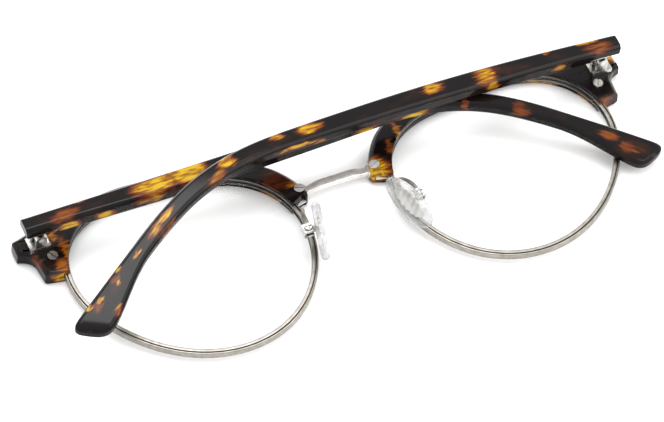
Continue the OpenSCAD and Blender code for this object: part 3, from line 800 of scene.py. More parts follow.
@dataclass
class Piece:
    """A mesh in the making, with where it rides and what it stands for."""

    name: str
    body: str
    slot: Slot
    nodes: tuple[str, ...]
    crease: float = 34.0

    def make(
        self,
        lofts: Sequence[Sequence[Ring]],
        material: bpy.types.Material,
        side: Side = Side.RIGHT,
        grain: Callable[[int, int], Vector] | None = None,
    ) -> bpy.types.Object:
        """Builds the object and hands it to the frame.

        Args:
            lofts: The lofts that make up the piece, drawn on the right side.
            material: The piece's finish.
            side: Side on which the piece lies; the left one is mirrored.
            grain: Place in the acetate from ring and point, or None.

        Returns:
            The object.
        """
        mesh = loft_mesh(self.name, lofts, side)
        if grain is not None:
            rings = lofts[0]
            places = [grain(i, k) for i in range(len(rings)) for k in range(len(rings[0]))]
            self.set_grain(mesh, places)
        return self.finish(mesh, material)

    def finish(self, mesh: bpy.types.Mesh, material: bpy.types.Material) -> bpy.types.Object:
        """Makes the object of a mesh, smooths it and hands it to the frame.

        Args:
            mesh: The piece's mesh.
            material: The piece's finish.

        Returns:
            The object.
        """
        mesh.shade_smooth()
        mesh.set_sharp_from_angle(angle=math.radians(self.crease))
        mesh.materials.append(material)
        obj = new_object(self.name, mesh)
        weigh = obj.modifiers.new("even_normals", "WEIGHTED_NORMAL")
        weigh.keep_sharp = True
        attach(obj, self.body)
        if self.nodes:
            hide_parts(*self.nodes)
        log.info("%s: %d faces, rides on %s", self.name, len(mesh.polygons), self.body)
        return obj

    @staticmethod
    def set_grain(mesh: bpy.types.Mesh, places: Sequence[Vector]) -> None:
        """Stores each vertex's place in the acetate, in millimetres."""
        layer = mesh.attributes.new(GRAIN, "FLOAT_VECTOR", "POINT")
        layer.data.foreach_set("vector", [c for p in places for c in p])


@dataclass
class Carried:
    """CAD nodes whose shape is right: they get edges that catch light, and a finish."""

    edge: float = 0.05
    edge_angle: float = 40.0
    steps: int = 2
    steel: tuple[str, ...] = ("nose_screw", "hinge_screw")
    hinge: tuple[str, ...] = ("box", "pad_screw", "end_screw", "hinge_plate", "hinge_leaf")
    hidden: tuple[str, ...] = ("lock", "lug", "lock_screw", "core")

    def dress(self, name: str, material: bpy.types.Material, edge: float) -> None:
        """Finishes one node.

        Args:
            name: The node.
            material: Its finish.
            edge: Width of its bevels, or 0 for none.
        """
        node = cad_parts[name]
        node.data.materials.clear()
        node.data.materials.append(material)
        if edge > 0:
            bevel = node.modifiers.new("edges", "BEVEL")
            bevel.width = edge * MM
            bevel.segments = self.steps
            bevel.limit_method = "ANGLE"
            bevel.angle_limit = math.radians(self.edge_angle)
        log.info("%s: carried over from the CAD", name)

    def build(self, side: Side, palette: Palette) -> None:
        """Finishes the nodes of one side.

        Args:
            side: The side.
            palette: The shared finishes.
        """
        kinds = (
            (self.steel, palette.steel, self.edge),
            (self.hinge, palette.hinge, self.edge),
            (self.hidden, palette.metal, 0.0),
        )
        for names, finish, edge in kinds:
            for name in names:
                self.dress(f"{name}_{side.tag}", finish, edge)


# ---------------------------------------------------------------- lens outline


@dataclass(frozen=True)
class Outline:
    """Outline of the right lens, about its own centre: a circle with four gentle waves."""

    radius: float = 23.4
    oval: float = 0.08
    lean: float = 0.045
    taper: float = 0.052
    square: float = -0.012
    centre_x: float = 35.9
    nose_from: float = 130.0
    nose_to: float = 200.0

    def share(self, angle: float) -> float:
        """Radius at an angle as a share of the mean one.

        Args:
            angle: Angle about the lens centre, in degrees.

        Returns:
            The share.
        """
        a = math.radians(angle)
        return (
            1
            + self.oval * math.cos(2 * a)
            + self.lean * math.sin(2 * a)
            + self.taper * math.sin(3 * a)
            + self.square * math.cos(4 * a)
        )

    def turn(self, angle: float) -> float:
        """Outward direction of the outline.

        Args:
            angle: Angle about the lens centre, in degrees.

        Returns:
            The direction's angle, in degrees.
        """
        a = math.radians(angle)
        rate = (
            -2 * self.oval * math.sin(2 * a)
            + 2 * self.lean * math.cos(2 * a)
            + 3 * self.taper * math.cos(3 * a)
            - 4 * self.square * math.sin(4 * a)
        )
        return angle - math.degrees(math.atan(rate / self.share(angle)))

    def point(self, angle: float, off: float = 0.0, z: float = 0.0) -> Vector:
        """Point beside the outline.

        Args:
            angle: Angle about the lens centre, in degrees.
            off: Distance outside the lens edge.
            z: Height of the point.

        Returns:
            The point.
        """
        a, t = math.radians(angle), math.radians(self.turn(angle))
        r = self.radius * self.share(angle)
        x = self.centre_x + r * math.cos(a) + off * math.cos(t)
        return Vector((x, r * math.sin(a) + off * math.sin(t), z))

    def nose_angle(self, y: float) -> float:
        """Angle of the nose-side edge at a height.

        Args:
            y: The height above the lens centre.

        Returns:
            The angle, in degrees.
        """
        low, high = self.nose_from, self.nose_to
        for _ in range(30):
            middle = (low + high) / 2
            low, high = (middle, high) if self.point(middle).y > y else (low, middle)
        return (low + high) / 2


OUTLINE = Outline()


# ---------------------------------------------------------------- eyewire and lens


@dataclass
class Eyewire:
    """Metal rim of one lens, split at its lock, with the groove that holds the lens.

    A fine line runs along the middle of its back.
    """

    out: float = 1.0
    lip: float = 0.35
    front: float = 1.15
    back: float = 2.85
    groove: float = 1.1
    groove_out: float = 0.04
    line_deep: float = 0.42
    line_from: float = 0.42
    line_to: float = 0.58
    line_edge: float = 0.06
    lock_a: float = 20.0
    gap: float = 0.3
    steps: int = 260

    def section(self) -> tuple[Triple, ...]:
        """Corners across the rim.

        Returns:
            Triples of distance outside the lens edge, height and rounding.
        """
        middle = (self.front + self.back) / 2
        low, high = middle - self.groove / 2, middle + self.groove / 2
        floor = self.back - self.line_deep
        return (
            (self.out, self.front, 0.35), (self.out, self.back, 0.26),
            (self.line_to + self.line_edge, self.back, 0.05), (self.line_to, floor, 0.0),
            (self.line_from, floor, 0.0), (self.line_from - self.line_edge, self.back, 0.05),
            (-self.lip, self.back, 0.14), (-self.lip, high, 0.06),
            (self.groove_out, high, 0.0), (self.groove_out, low, 0.0),
            (-self.lip, low, 0.06), (-self.lip, self.front, 0.14),
        )

    def rings(self) -> list[Ring]:
        """Rings of the rim from one side of the split to the other.

        Returns:
            The rings.
        """
        section = self.section()
        half = math.degrees(self.gap / 2 / OUTLINE.radius)
        rings = []
        for k in range(self.steps + 1):
            a = self.lock_a + half + (360 - 2 * half) * k / self.steps
            corners = [OUTLINE.point(a, off, z) for off, z, _ in section]
            rings.append(soften(corners, [r for _, _, r in section], 4))
        return rings

    def build(self, side: Side, palette: Palette) -> None:
        """Makes the rim of one side."""
        piece = Piece(f"eyewire_{side.tag}", Body.FRONT.value, Slot.METAL, (f"rim_{side.tag}",))
        piece.make([self.rings()], palette.metal, side)


@dataclass
class Lens:
    """Clear meniscus lens with the tongue that sits in the eyewire."""

    thick: float = 1.6
    curve: float = 265.0
    middle: float = 2.0
    tongue: float = 0.55
    inset: float = 0.37
    ground: float = 0.25
    steps: int = 180
    shares: tuple[float, ...] = (0.02, 0.2, 0.4, 0.6, 0.75, 0.88, 0.96, 1.0)

    def height(self, point: Vector, depth: float) -> float:
        """Height of the sphere that lies at some depth in the lens.

        Args:
            point: Place seen from the front.
            depth: Depth below the front face.

        Returns:
            The height above the table.
        """
        sag = self.curve - math.sqrt(self.curve**2 - OUTLINE.radius**2)
        centre = self.middle - self.thick / 2 - sag + self.curve
        away = math.hypot(point.x - OUTLINE.centre_x, point.y)
        return centre - math.sqrt((self.curve - depth) ** 2 - away**2)

    def ring(self, share: float, off: float, depth: float) -> Ring:
        """One ring of the lens about its middle.

        Args:
            share: Distance from the lens centre as a share of the whole.
            off: Distance outside the lens edge.
            depth: Depth below the front face.

        Returns:
            The ring.
        """
        out = []
        middle = Vector((OUTLINE.centre_x, 0, 0))
        for k in range(self.steps):
            p = middle.lerp(OUTLINE.point(360 * k / self.steps, off), share)
            out.append(Vector((p.x, p.y, self.height(p, depth))))
        return out

    def build(self, side: Side, palette: Palette) -> None:
        """Makes the lens of one side, with a ground edge painted dark between its two faces.

        Args:
            side: The side.
            palette: The shared finishes.
        """
        low = (self.thick - self.tongue) / 2
        rings = [self.ring(share, -self.inset, 0.0) for share in self.shares]
        first = len(rings)
        edge = ((-self.inset, self.ground), (-self.inset, low), (0, low))
        rings += [self.ring(1, off, depth) for off, depth in edge]
        rings += [self.ring(1, off, self.thick - depth) for off, depth in reversed(edge)]
        last = len(rings) - 1
        rings += [self.ring(share, -self.inset, self.thick) for share in reversed(self.shares)]
        piece = Piece(f"clear_lens_{side.tag}", Body.FRONT.value, Slot.LENS, (f"lens_{side.tag}",))
        obj = piece.make([rings], palette.lens, side)
        obj.data.materials.append(palette.ground)
        for polygon in obj.data.polygons:
            rows = [vertex // self.steps for vertex in polygon.vertices]
            polygon.material_index = int(min(rows) >= first and max(rows) <= last)


# ---------------------------------------------------------------- brow


BROW_LEFT = Tortoise(
    "tortoise_brow_left",
    (
        Patch((-9.4, 10.6, 3.9), (2.6, 0.9, 1.6), 0.76),
        Patch((-12.4, 12.6, 3.6), (4.6, 3.6, 2.4), 0.36),
        Patch((-59.8, 12.0, 3.2), (1.3, 4.0, 3.0), 0.70),
        Patch((-61.8, 8.4, 3.4), (1.8, 2.2, 2.2), 0.66),
        Patch((-63.4, 6.6, 1.9), (4.0, 1.2, 2.4), 1.0),
        Patch((-61.2, 15.9, 3.9), (1.5, 1.5, 1.8), 0.76),
        Patch((-66.4, 11.4, 3.0), (1.2, 2.6, 2.0), 0.42),
        Patch((-47.0, 22.6, 0.4), (4.6, 2.4, 1.2), 0.86),
        Patch((-36.0, 23.6, 0.4), (5.0, 2.4, 1.2), 0.78),
        Patch((-24.0, 21.0, 0.4), (5.0, 3.0, 1.2), 0.86),
        Patch((-13.8, 11.2, 0.4), (2.6, 3.6, 1.3), 0.84),
    ),
    seed=3.0,
)
BROW_RIGHT = Tortoise(
    "tortoise_brow_right",
    (
        Patch((8.5, 7.8, 3.2), (3.6, 3.6, 3.2), 1.0),
        Patch((13.9, 12.0, 3.2), (0.9, 2.6, 2.6), 0.62),
        Patch((16.9, 15.4, 3.2), (1.2, 3.2, 2.6), 0.84),
        Patch((69.0, 17.4, 3.2), (1.7, 2.2, 2.6), 0.84),
        Patch((62.8, 7.0, 2.2), (3.0, 1.4, 2.4), 0.60),
        Patch((60.2, 11.5, 0.8), (1.4, 3.4, 1.4), 0.74),
        Patch((30.0, 23.4, 0.4), (6.0, 2.4, 1.2), 0.94),
        Patch((42.0, 23.0, 0.4), (4.0, 2.4, 1.2), 0.80),
        Patch((53.0, 18.6, 0.4), (4.4, 3.0, 1.2), 0.94),
        Patch((20.0, 20.4, 0.4), (4.0, 3.4, 1.2), 0.92),
    ),
    seed=11.0,
)


@dataclass
class Brow:
    """Acetate brow piece: the band above a lens, the leg beside the nose and the end piece.

    Its section follows the lens outline on its inner side and a path of marks on its
    outer side: foot, hollow, end piece, shoulder, band and rounded nose end.
    """

    thick: float = 3.9
    top: float = 3.1
    nose: float = 4.8
    nose_from: float = 112.0
    nose_run: float = 38.0
    leg: float = 5.0
    start: float = 15.5
    stop: float = 166.5
    lip_front: float = 0.05
    lip_back: float = 0.25
    channel_front: float = 1.11
    channel_back: float = 2.89
    channel_out: float = 1.04
    bevel_back: float = 0.9
    bevel_front: float = 0.6
    lean: float = 0.15
    half_w: float = 69.8
    end_top: float = 18.2
    end_h: float = 3.9
    end_run: float = 11.0
    end_round: float = 0.4
    hollow: float = 3.3
    hollow_to: float = 108.0
    hollow_share: float = 0.88
    below: tuple[float, float] = (-0.45, 0.1)
    above: tuple[float, float] = (-0.42, 0.27)
    corner_spread: float = 1.2
    shoulder_from: float = 0.08
    nose_round: float = 1.4
    join: float = 62.0
    share_leg: float = 0.13
    share_low: float = 0.27
    share_high: float = 0.4
    end_reach: float = 0.18
    end_depth: float = 0.05
    foot_steps: int = 9
    hollow_steps: int = 14
    corner_steps: int = 3
    shoulder_steps: int = 16
    band_steps: int = 70
    nose_steps: int = 10
    screws: tuple[tuple[float, float], ...] = ((8.7, 9.2), (63.0, 11.7))
    seat: tuple[tuple[float, float], ...] = ((-0.5, 1.16), (-0.12, 1.16), (0.3, 1.51))

    def width(self, angle: float) -> float:
        """Width of the acetate at an angle above the lens."""
        return mix(self.top, self.nose, ease((angle - self.nose_from) / self.nose_run))

    def key(self, share: float) -> float:
        """Angle on the lens at a share of the way from the foot to the join."""
        return mix(self.start, self.join, share)

    def hollow_marks(self) -> list[Mark]:
        """Marks from the leg's foot round the hollow under the end piece.

        Returns:
            The marks.
        """
        y = self.end_top - self.end_h - self.hollow
        foot = OUTLINE.point(self.start, self.leg)
        inner = Vector((self.half_w - self.hollow, y, 0))
        first, last = self.key(self.share_leg), self.key(self.share_low)
        out = []
        for k in range(self.foot_steps):
            t = k / self.foot_steps
            out.append((mix(self.start, first, t), foot.lerp(inner, t)))
        for k in range(self.hollow_steps + 1):
            t = k / self.hollow_steps
            a = math.radians(mix(180, self.hollow_to, t))
            x = self.half_w + self.hollow * math.cos(a)
            edge = Vector((x, y + self.hollow * math.sin(a), 0))
            out.append((mix(first, last, t * self.hollow_share), edge))
        return out

    def corner_marks(self) -> list[Mark]:
        """Marks round the end piece's two outer corners.

        Returns:
            The marks.
        """
        low = Vector((self.half_w, self.end_top - self.end_h, 0))
        high = Vector((self.half_w, self.end_top, 0))
        before = low + Vector((*self.below, 0))
        after = high + Vector((*self.above, 0))
        out = []
        for corner, start, end, share in (
            (low, before, high, self.share_low), (high, low, after, self.share_high)
        ):
            first = corner + (start - corner).normalized() * self.end_round
            last = corner + (end - corner).normalized() * self.end_round
            for k in range(self.corner_steps + 1):
                t = k / self.corner_steps
                angle = self.key(share) + (t - 0.5) * self.corner_spread
                out.append((angle, bow(first, corner, last, t)))
        return out

    def shoulder_marks(self) -> list[Mark]:
        """Marks of the sweep from the end piece onto the band.

        Returns:
            The marks.
        """
        turn = math.radians(OUTLINE.turn(self.join) - 90)
        joint = OUTLINE.point(self.join, self.top)
        run = joint + Vector((math.cos(turn), math.sin(turn), 0)) * self.end_run
        corner = Vector((self.half_w, self.end_top, 0))
        out = []
        for k in range(self.shoulder_steps):
            angle = mix(self.key(self.share_high), self.join, (k + 1) / (self.shoulder_steps + 1))
            t = mix(self.shoulder_from, 1, k / self.shoulder_steps)
            out.append((angle, bow(corner, run, joint, t)))
        return out

    def band_marks(self) -> list[Mark]:
        """Marks of the band above the lens, down to the rounded nose end.

        Returns:
            The marks.
        """
        nose_a = self.stop - math.degrees(self.nose_round / OUTLINE.radius)
        out = []
        for k in range(self.band_steps + 1):
            a = mix(self.join, nose_a, k / self.band_steps)
            out.append((a, OUTLINE.point(a, self.width(a))))
        for k in range(1, self.nose_steps + 1):
            t = math.radians(90 * k / self.nose_steps)
            a = mix(nose_a, self.stop, math.sin(t))
            off = self.width(a) - self.nose_round * (1 - math.cos(t))
            out.append((a, OUTLINE.point(a, off)))
        return out

    @staticmethod
    def outward(marks: Sequence[Mark], i: int) -> Vector:
        """Outward direction of the outer edge, long enough to keep bevels even.

        Args:
            marks: The edge's marks.
            i: Number of the mark.

        Returns:
            The direction.
        """
        last = len(marks) - 1
        ways = []
        for a, b in ((max(0, i - 1), max(1, i)), (min(i, last - 1), min(i + 1, last))):
            step = marks[b][1] - marks[a][1]
            ways.append(Vector((step.y, -step.x, 0)).normalized())
        return (ways[0] + ways[1]) / (1 + ways[0].dot(ways[1]))

    def section(self, angle: float, p: Vector, way: Vector) -> Ring:
        """Section of the brow, with the channel for the eyewire on its inner side.

        Args:
            angle: Angle on the lens outline.
            p: Point of the outer edge.
            way: The outer edge's outward direction.

        Returns:
            The ring.
        """
        lean = p - way * self.lean
        front_lip = OUTLINE.point(angle, -self.lip_front)
        back_lip = OUTLINE.point(angle, -self.lip_back)
        floor = OUTLINE.point(angle, self.channel_out)
        corners = (
            (p, self.bevel_front, 0.2), (p - way * self.bevel_front, 0.0, 0.2),
            (front_lip, 0.0, 0.12), (front_lip, self.channel_front, 0.0),
            (floor, self.channel_front, 0.0), (floor, self.channel_back, 0.0),
            (back_lip, self.channel_back, 0.0), (back_lip, self.thick, 0.14),
            (lean - way * self.bevel_back, self.thick, 0.32),
            (lean, self.thick - self.bevel_back, 0.32),
        )
        points = [Vector((q.x, q.y, z)) for q, z, _ in corners]
        return soften(points, [r for _, _, r in corners], 4)

    def rings(self) -> list[Ring]:
        """Rings of the brow from its foot to its nose end.

        Returns:
            The rings.
        """
        marks = self.hollow_marks() + self.corner_marks() + self.shoulder_marks()
        marks += self.band_marks()
        rings = [
            self.section(angle, p, self.outward(marks, i)) for i, (angle, p) in enumerate(marks)
        ]
        return rounded_ends(rings, self.end_reach, self.end_depth)

    def sunk(self, blank: bpy.types.Mesh, side: Side) -> bpy.types.Mesh:
        """Cuts the seats of the screw heads into the back face.

        Args:
            blank: The brow's mesh without seats, which is used up.
            side: The brow's side.

        Returns:
            The mesh with seats.
        """
        seats = [turned(Vector((x, y, self.thick)), UPWARD, self.seat, 64) for x, y in self.screws]
        tool = loft_mesh("seats", seats, side)
        body, cutter = new_object("brow_blank", blank), new_object("seats", tool)
        cut = body.modifiers.new("cut", "BOOLEAN")
        cut.operation, cut.solver, cut.object = "DIFFERENCE", "EXACT", cutter
        graph = bpy.context.evaluated_depsgraph_get()
        result = bpy.data.meshes.new_from_object(body.evaluated_get(graph), depsgraph=graph)
        for obj in (body, cutter):
            bpy.data.objects.remove(obj)
        for mesh in (blank, tool):
            bpy.data.meshes.remove(mesh)
        return result

    def build(self, side: Side, finish: Tortoise) -> None:
        """Makes the brow of one side.

        Args:
            side: The side.
            finish: Its acetate.
        """
        name = f"acetate_brow_{side.tag}"
        mesh = self.sunk(loft_mesh("brow_blank", [self.rings()], side), side)
        mesh.name = name
        Piece.set_grain(mesh, [v.co / MM for v in mesh.vertices])
        piece = Piece(name, Body.FRONT.value, Slot.ACETATE, (f"brow_{side.tag}",), crease=28)
        piece.finish(mesh, finish.build())


# ---------------------------------------------------------------- bridge


@dataclass
class Bridge:
    """Nickel bar between the brows, with the lugs that run under the acetate."""

    y: float = 9.2
    high: float = 2.3
    end_high: float = 2.0
    thick: float = 1.3
    arch: float = 0.7
    middle: float = 2.0
    bar_end: float = 7.00944
    lug_high: float = 2.8
    lug_thick: float = 1.7
    lug_off: float = 1.0
    lug_short: float = 0.05
    edge: float = 0.42
    lip_low: float = 1.82
    lip_high: float = 2.1
    lip_from: float = 158.0
    lip_to: float = 166.66
    lip_offs: tuple[float, float] = (0.9, 3.35)
    steps: int = 64

    def lip(self, flip: float) -> list[Ring]:
        """Edge of the lug that shows as a thin line across the brow's nose end.

        Args:
            flip: 1 for the right side and -1 for the left one.

        Returns:
            The lip's rings.
        """
        corners = (
            (self.lip_from, self.lip_low), (self.lip_from, self.lip_high),
            (self.lip_to, self.lip_high), (self.lip_to, self.lip_low),
        )
        rings = []
        for off in self.lip_offs:
            points = [OUTLINE.point(angle, off, z) for angle, z in corners]
            rings.append([Vector((p.x * flip, p.y, p.z)) for p in points])
        return rings

    def section(self, x: float, high: float, thick: float, z: float) -> Ring:
        """Rounded oblong across the bar at x, with its middle z above the table."""
        corners = [Vector((x, self.y + sy * high / 2, z + sz * thick / 2)) for sy, sz in CORNERS]
        return soften(corners, [self.edge] * 4, 5)

    def bar(self) -> list[Ring]:
        """Rings of the arched bar.

        Returns:
            The rings.
        """
        rings = []
        for k in range(self.steps + 1):
            x = mix(-self.bar_end, self.bar_end, k / self.steps)
            e = ease((self.bar_end - abs(x)) / (self.bar_end / 2))
            high = mix(self.end_high, self.high, e)
            rings.append(self.section(x, high, self.thick, self.middle + self.arch * e))
        return rings

    def build(self, palette: Palette) -> None:
        """Makes the bridge.

        Args:
            palette: The shared finishes.
        """
        tip = OUTLINE.point(OUTLINE.nose_angle(self.y), self.lug_off).x - self.lug_short
        left, right = (
            [self.section(x, self.lug_high, self.lug_thick, self.middle) for x in places]
            for places in ((-tip, -self.bar_end), (self.bar_end, tip))
        )
        piece = Piece("bridge_bar", Body.FRONT.value, Slot.METAL, ("bridge",))
        piece.make([left + self.bar() + right, self.lip(1), self.lip(-1)], palette.bright)


# ---------------------------------------------------------------- nose pads


@dataclass
class NosePad:
    """Pad arm, silicone pad and the ribbed metal insert inside it.

    The pad has a frame of its own: X through it, Y along it and Z across it.
    """

    length: float = 14.4
    width: float = 7.0
    thick: float = 2.2
    at: Triple = (10.1, -4.7, 7.2)
    lean: float = 15.0
    splay: float = 13.0
    point: float = 0.1
    face: tuple[tuple[float, float], ...] = ((-1, 0.03), (-0.99, 0.3), (-0.96, 0.52), (-0.88, 0.70))
    back: tuple[tuple[float, float], ...] = ((0.80, 0.70), (0.72, 0.52), (0.68, 0.3), (0.66, 0.03))
    rim_deep: float = 0.88
    rim_share: float = 0.82
    rim_bulge: float = 0.8
    insert_t: float = 0.5
    insert_share: float = 0.62
    insert_reach: float = 0.995
    insert_least: float = 0.12
    insert_round: float = 0.08
    insert_steps: int = 72
    rib: float = 1.5
    rib_deep: float = 0.4
    rib_wide: float = 0.90
    arm_d: float = 0.9
    arm_y: float = -2.1
    arm_top: float = 2.4
    arm_bow: float = 0.3
    arm_rise: float = 1.5
    arm_swing: float = 2.5
    arm_off: float = 0.5
    arm_sunk: float = 0.15
    arm_steps: int = 26
    wire_back: float = 2.85
    solder_off: float = 0.45
    solder: tuple[tuple[float, float], ...] = (
        (-0.25, 0.62), (0.0, 0.62), (0.10, 0.58), (0.22, 0.50), (0.34, 0.44)
    )
    box: Triple = (12.7, -3.9, 7.5)
    box_w: float = 2.2
    box_h: float = 1.96
    tab_w: float = 1.4
    tab_t: float = 0.8
    tab_out: float = 0.16
    tab_round: float = 0.1
    tab_shares: tuple[tuple[float, float], ...] = ((0.0, 0.5), (0.36, 0.36), (0.5, 0.1))

    def placed(self, x: float, y: float, z: float) -> Vector:
        """A point of the pad's own frame in the frame of the glasses.

        Args:
            x: Place through the pad.
            y: Place along it.
            z: Place across it.

        Returns:
            The point.
        """
        lean = Matrix.Rotation(math.radians(self.lean), 3, "Z")
        turn = lean @ Matrix.Rotation(math.radians(self.splay), 3, "Y")
        return Vector(self.at) + turn @ Vector((x, y, z))

    def oval(self, x: float, share: float, sides: int = 72) -> Ring:
        """The pad's outline at one depth.

        Args:
            x: Depth through the pad.
            share: Scale of the outline.
            sides: Points round it.

        Returns:
            The ring.
        """
        out = []
        for k in range(sides):
            a = 2 * math.pi * k / sides
            z = share * self.width / 2 * math.sin(a) * (1 - self.point * math.cos(a))
            out.append(self.placed(x, share * self.length / 2 * math.cos(a), z))
        return out

    def pad_rings(self) -> list[Ring]:
        """Rings of the soft pad from its skin side over its round rim to its back.

        Returns:
            The rings.
        """
        rim = []
        for angle in range(-75, 76, 15):
            a = math.radians(angle)
            share = mix(self.rim_share, 1.0, math.cos(a) ** self.rim_bulge)
            rim.append((self.rim_deep * math.sin(a), share))
        half = self.thick / 2
        return [self.oval(half * x, share) for x, share in (*self.face, *rim, *self.back)]

    def plate_rings(self) -> list[Ring]:
        """Rings of the insert plate along its length, with ribs across it.

        Returns:
            The rings.
        """
        rings = []
        for k in range(self.insert_steps + 1):
            along = mix(-self.insert_reach, self.insert_reach, k / self.insert_steps)
            y = along * self.insert_share * self.length / 2
            half = self.insert_share * self.width / 2 * math.sqrt(1 - along * along)
            rib = 0.5 + 0.5 * math.cos(2 * math.pi * y / self.rib)
            deep = self.insert_t / 2 * mix(self.rib_deep, 1.0, rib)
            wide = max(self.insert_least, half * mix(self.rib_wide, 1.0, rib))
            corners = [self.placed(sx * deep, y, sz * wide) for sx, sz in CORNERS]
            rings.append(soften(corners, [self.insert_round] * 4, 2))
        return rings

    def tab_rings(self) -> list[Ring]:
        """Rings of the stem that leads from the plate to the rounded tab in the box.

        Returns:
            The rings.
        """
        x, y, z = self.box
        mouth = x - self.box_w / 2 - self.tab_out
        rows = [(self.placed(0, 0, 0), 0.5), (Vector((mouth, y, z)), 0.5)]
        rows += [(Vector((x + self.tab_w * out, y, z)), half) for out, half in self.tab_shares]
        rings = []
        for place, half in rows:
            corners = [
                place + Vector((0, sy * self.tab_w * half, sz * self.tab_t / 2))
                for sy, sz in CORNERS
            ]
            rings.append(soften(corners, [self.tab_round] * 4, 2))
        return rings

    def arm_path(self) -> list[Vector]:
        """Points along the pad arm, from the eyewire over its bend to the box.

        Returns:
            The points.
        """
        x, y, z = self.box
        edge = OUTLINE.point(OUTLINE.nose_angle(self.arm_y), self.arm_off)
        foot = Vector((edge.x, self.arm_y, self.wire_back - self.arm_sunk))
        rise = Vector((0, 0, self.arm_rise))
        bend = Vector((edge.x + self.arm_bow, self.arm_top, (self.wire_back + z) / 2))
        tip = Vector((x, y + self.box_w / 2, z + self.box_h / 2 - self.arm_d / 2))
        low = cubic((foot, foot + rise, bend - rise, bend), self.arm_steps)
        swing = Vector((0, self.arm_swing, 0))
        high = cubic((bend, bend + rise, tip + swing, tip), self.arm_steps)
        return low[:-1] + high

    def build(self, side: Side, palette: Palette) -> None:
        """Makes the nose pad of one side with its arm.

        Args:
            side: The side.
            palette: The shared finishes.
        """
        tag, body = side.tag, Body.PAD.of(side)
        soft = Piece(f"soft_pad_{tag}", body, Slot.SILICONE, (f"pad_{tag}",), crease=60)
        soft.make([self.pad_rings()], palette.silicone, side)
        plate = Piece(f"ribbed_insert_{tag}", body, Slot.METAL, (f"insert_{tag}",))
        plate.make([self.plate_rings(), self.tab_rings()], palette.bright, side)
        arm = Piece(f"pad_wire_{tag}", Body.FRONT.value, Slot.METAL, (f"arm_{tag}",), crease=50)
        arm.make([rod(self.arm_path(), self.arm_d / 2)], palette.metal, side)
        edge = OUTLINE.point(OUTLINE.nose_angle(self.arm_y), self.solder_off)
        foot = Vector((edge.x, self.arm_y, self.wire_back))
        solder = Piece(f"pad_solder_{tag}", Body.FRONT.value, Slot.METAL, (), crease=50)
        solder.make([turned(foot, UPWARD, self.solder, 28)], palette.metal, side)


# ---------------------------------------------------------------- temples


def outer_face(places: Sequence[float]) -> tuple[Patch, ...]:
    """Patches of a temple's outer face, which lies away from the camera.

    Args:
        places: Their distances from the butt.

    Returns:
        The patches.
    """
    tones = (1.0, 0.66, 0.92, 0.80)
    return tuple(
        Patch(
            (s, 1.2 + 1.1 * (i % 3), mix(3.9, 2.8, s / 143)),
            (3.6 + 1.6 * (i % 2), 1.6 + 0.5 * (i % 3), 1.0), tones[i % 4],
        )
        for i, s in enumerate(places)
    )


TEMPLE_LEFT = Tortoise(
    "tortoise_temple_left",
    (
        Patch((8.6, 2.5, 0.4), (4.0, 1.7, 1.4), 0.58),
        Patch((12.4, 0.4, 0.4), (1.6, 0.9, 1.2), 0.84),
        Patch((9.0, 4.3, 2.2), (3.2, 0.9, 1.5), 0.94),
        Patch((16.8, 4.6, 2.0), (3.4, 0.9, 1.4), 0.92),
        Patch((29.0, 2.4, 0.6), (6.6, 2.4, 2.0), 1.0),
        Patch((36.5, 2.0, 0.6), (5.0, 3.0, 2.2), 1.0),
        Patch((27.0, 4.6, 1.4), (4.0, 0.8, 1.2), 0.78),
        Patch((76.5, 3.9, 1.8), (3.6, 1.2, 1.6), 0.96),
        Patch((87.5, 3.6, 1.6), (5.2, 1.1, 1.6), 0.98),
        Patch((100.7, 0.9, 0.3), (0.9, 0.7, 1.0), 0.84),
        Patch((100.4, 3.0, 0.8), (1.2, 2.0, 1.6), 0.56),
        Patch((112.8, 2.8, 0.6), (2.2, 2.0, 1.4), 0.52),
        Patch((132.5, 2.6, 0.4), (2.6, 1.4, 1.4), 0.55),
        Patch((137.0, 4.0, 0.4), (2.2, 2.0, 1.4), 0.52),
        *outer_face((9, 22, 40, 52, 66, 84, 97, 112, 127, 138)),
    ),
    seed=23.0,
)
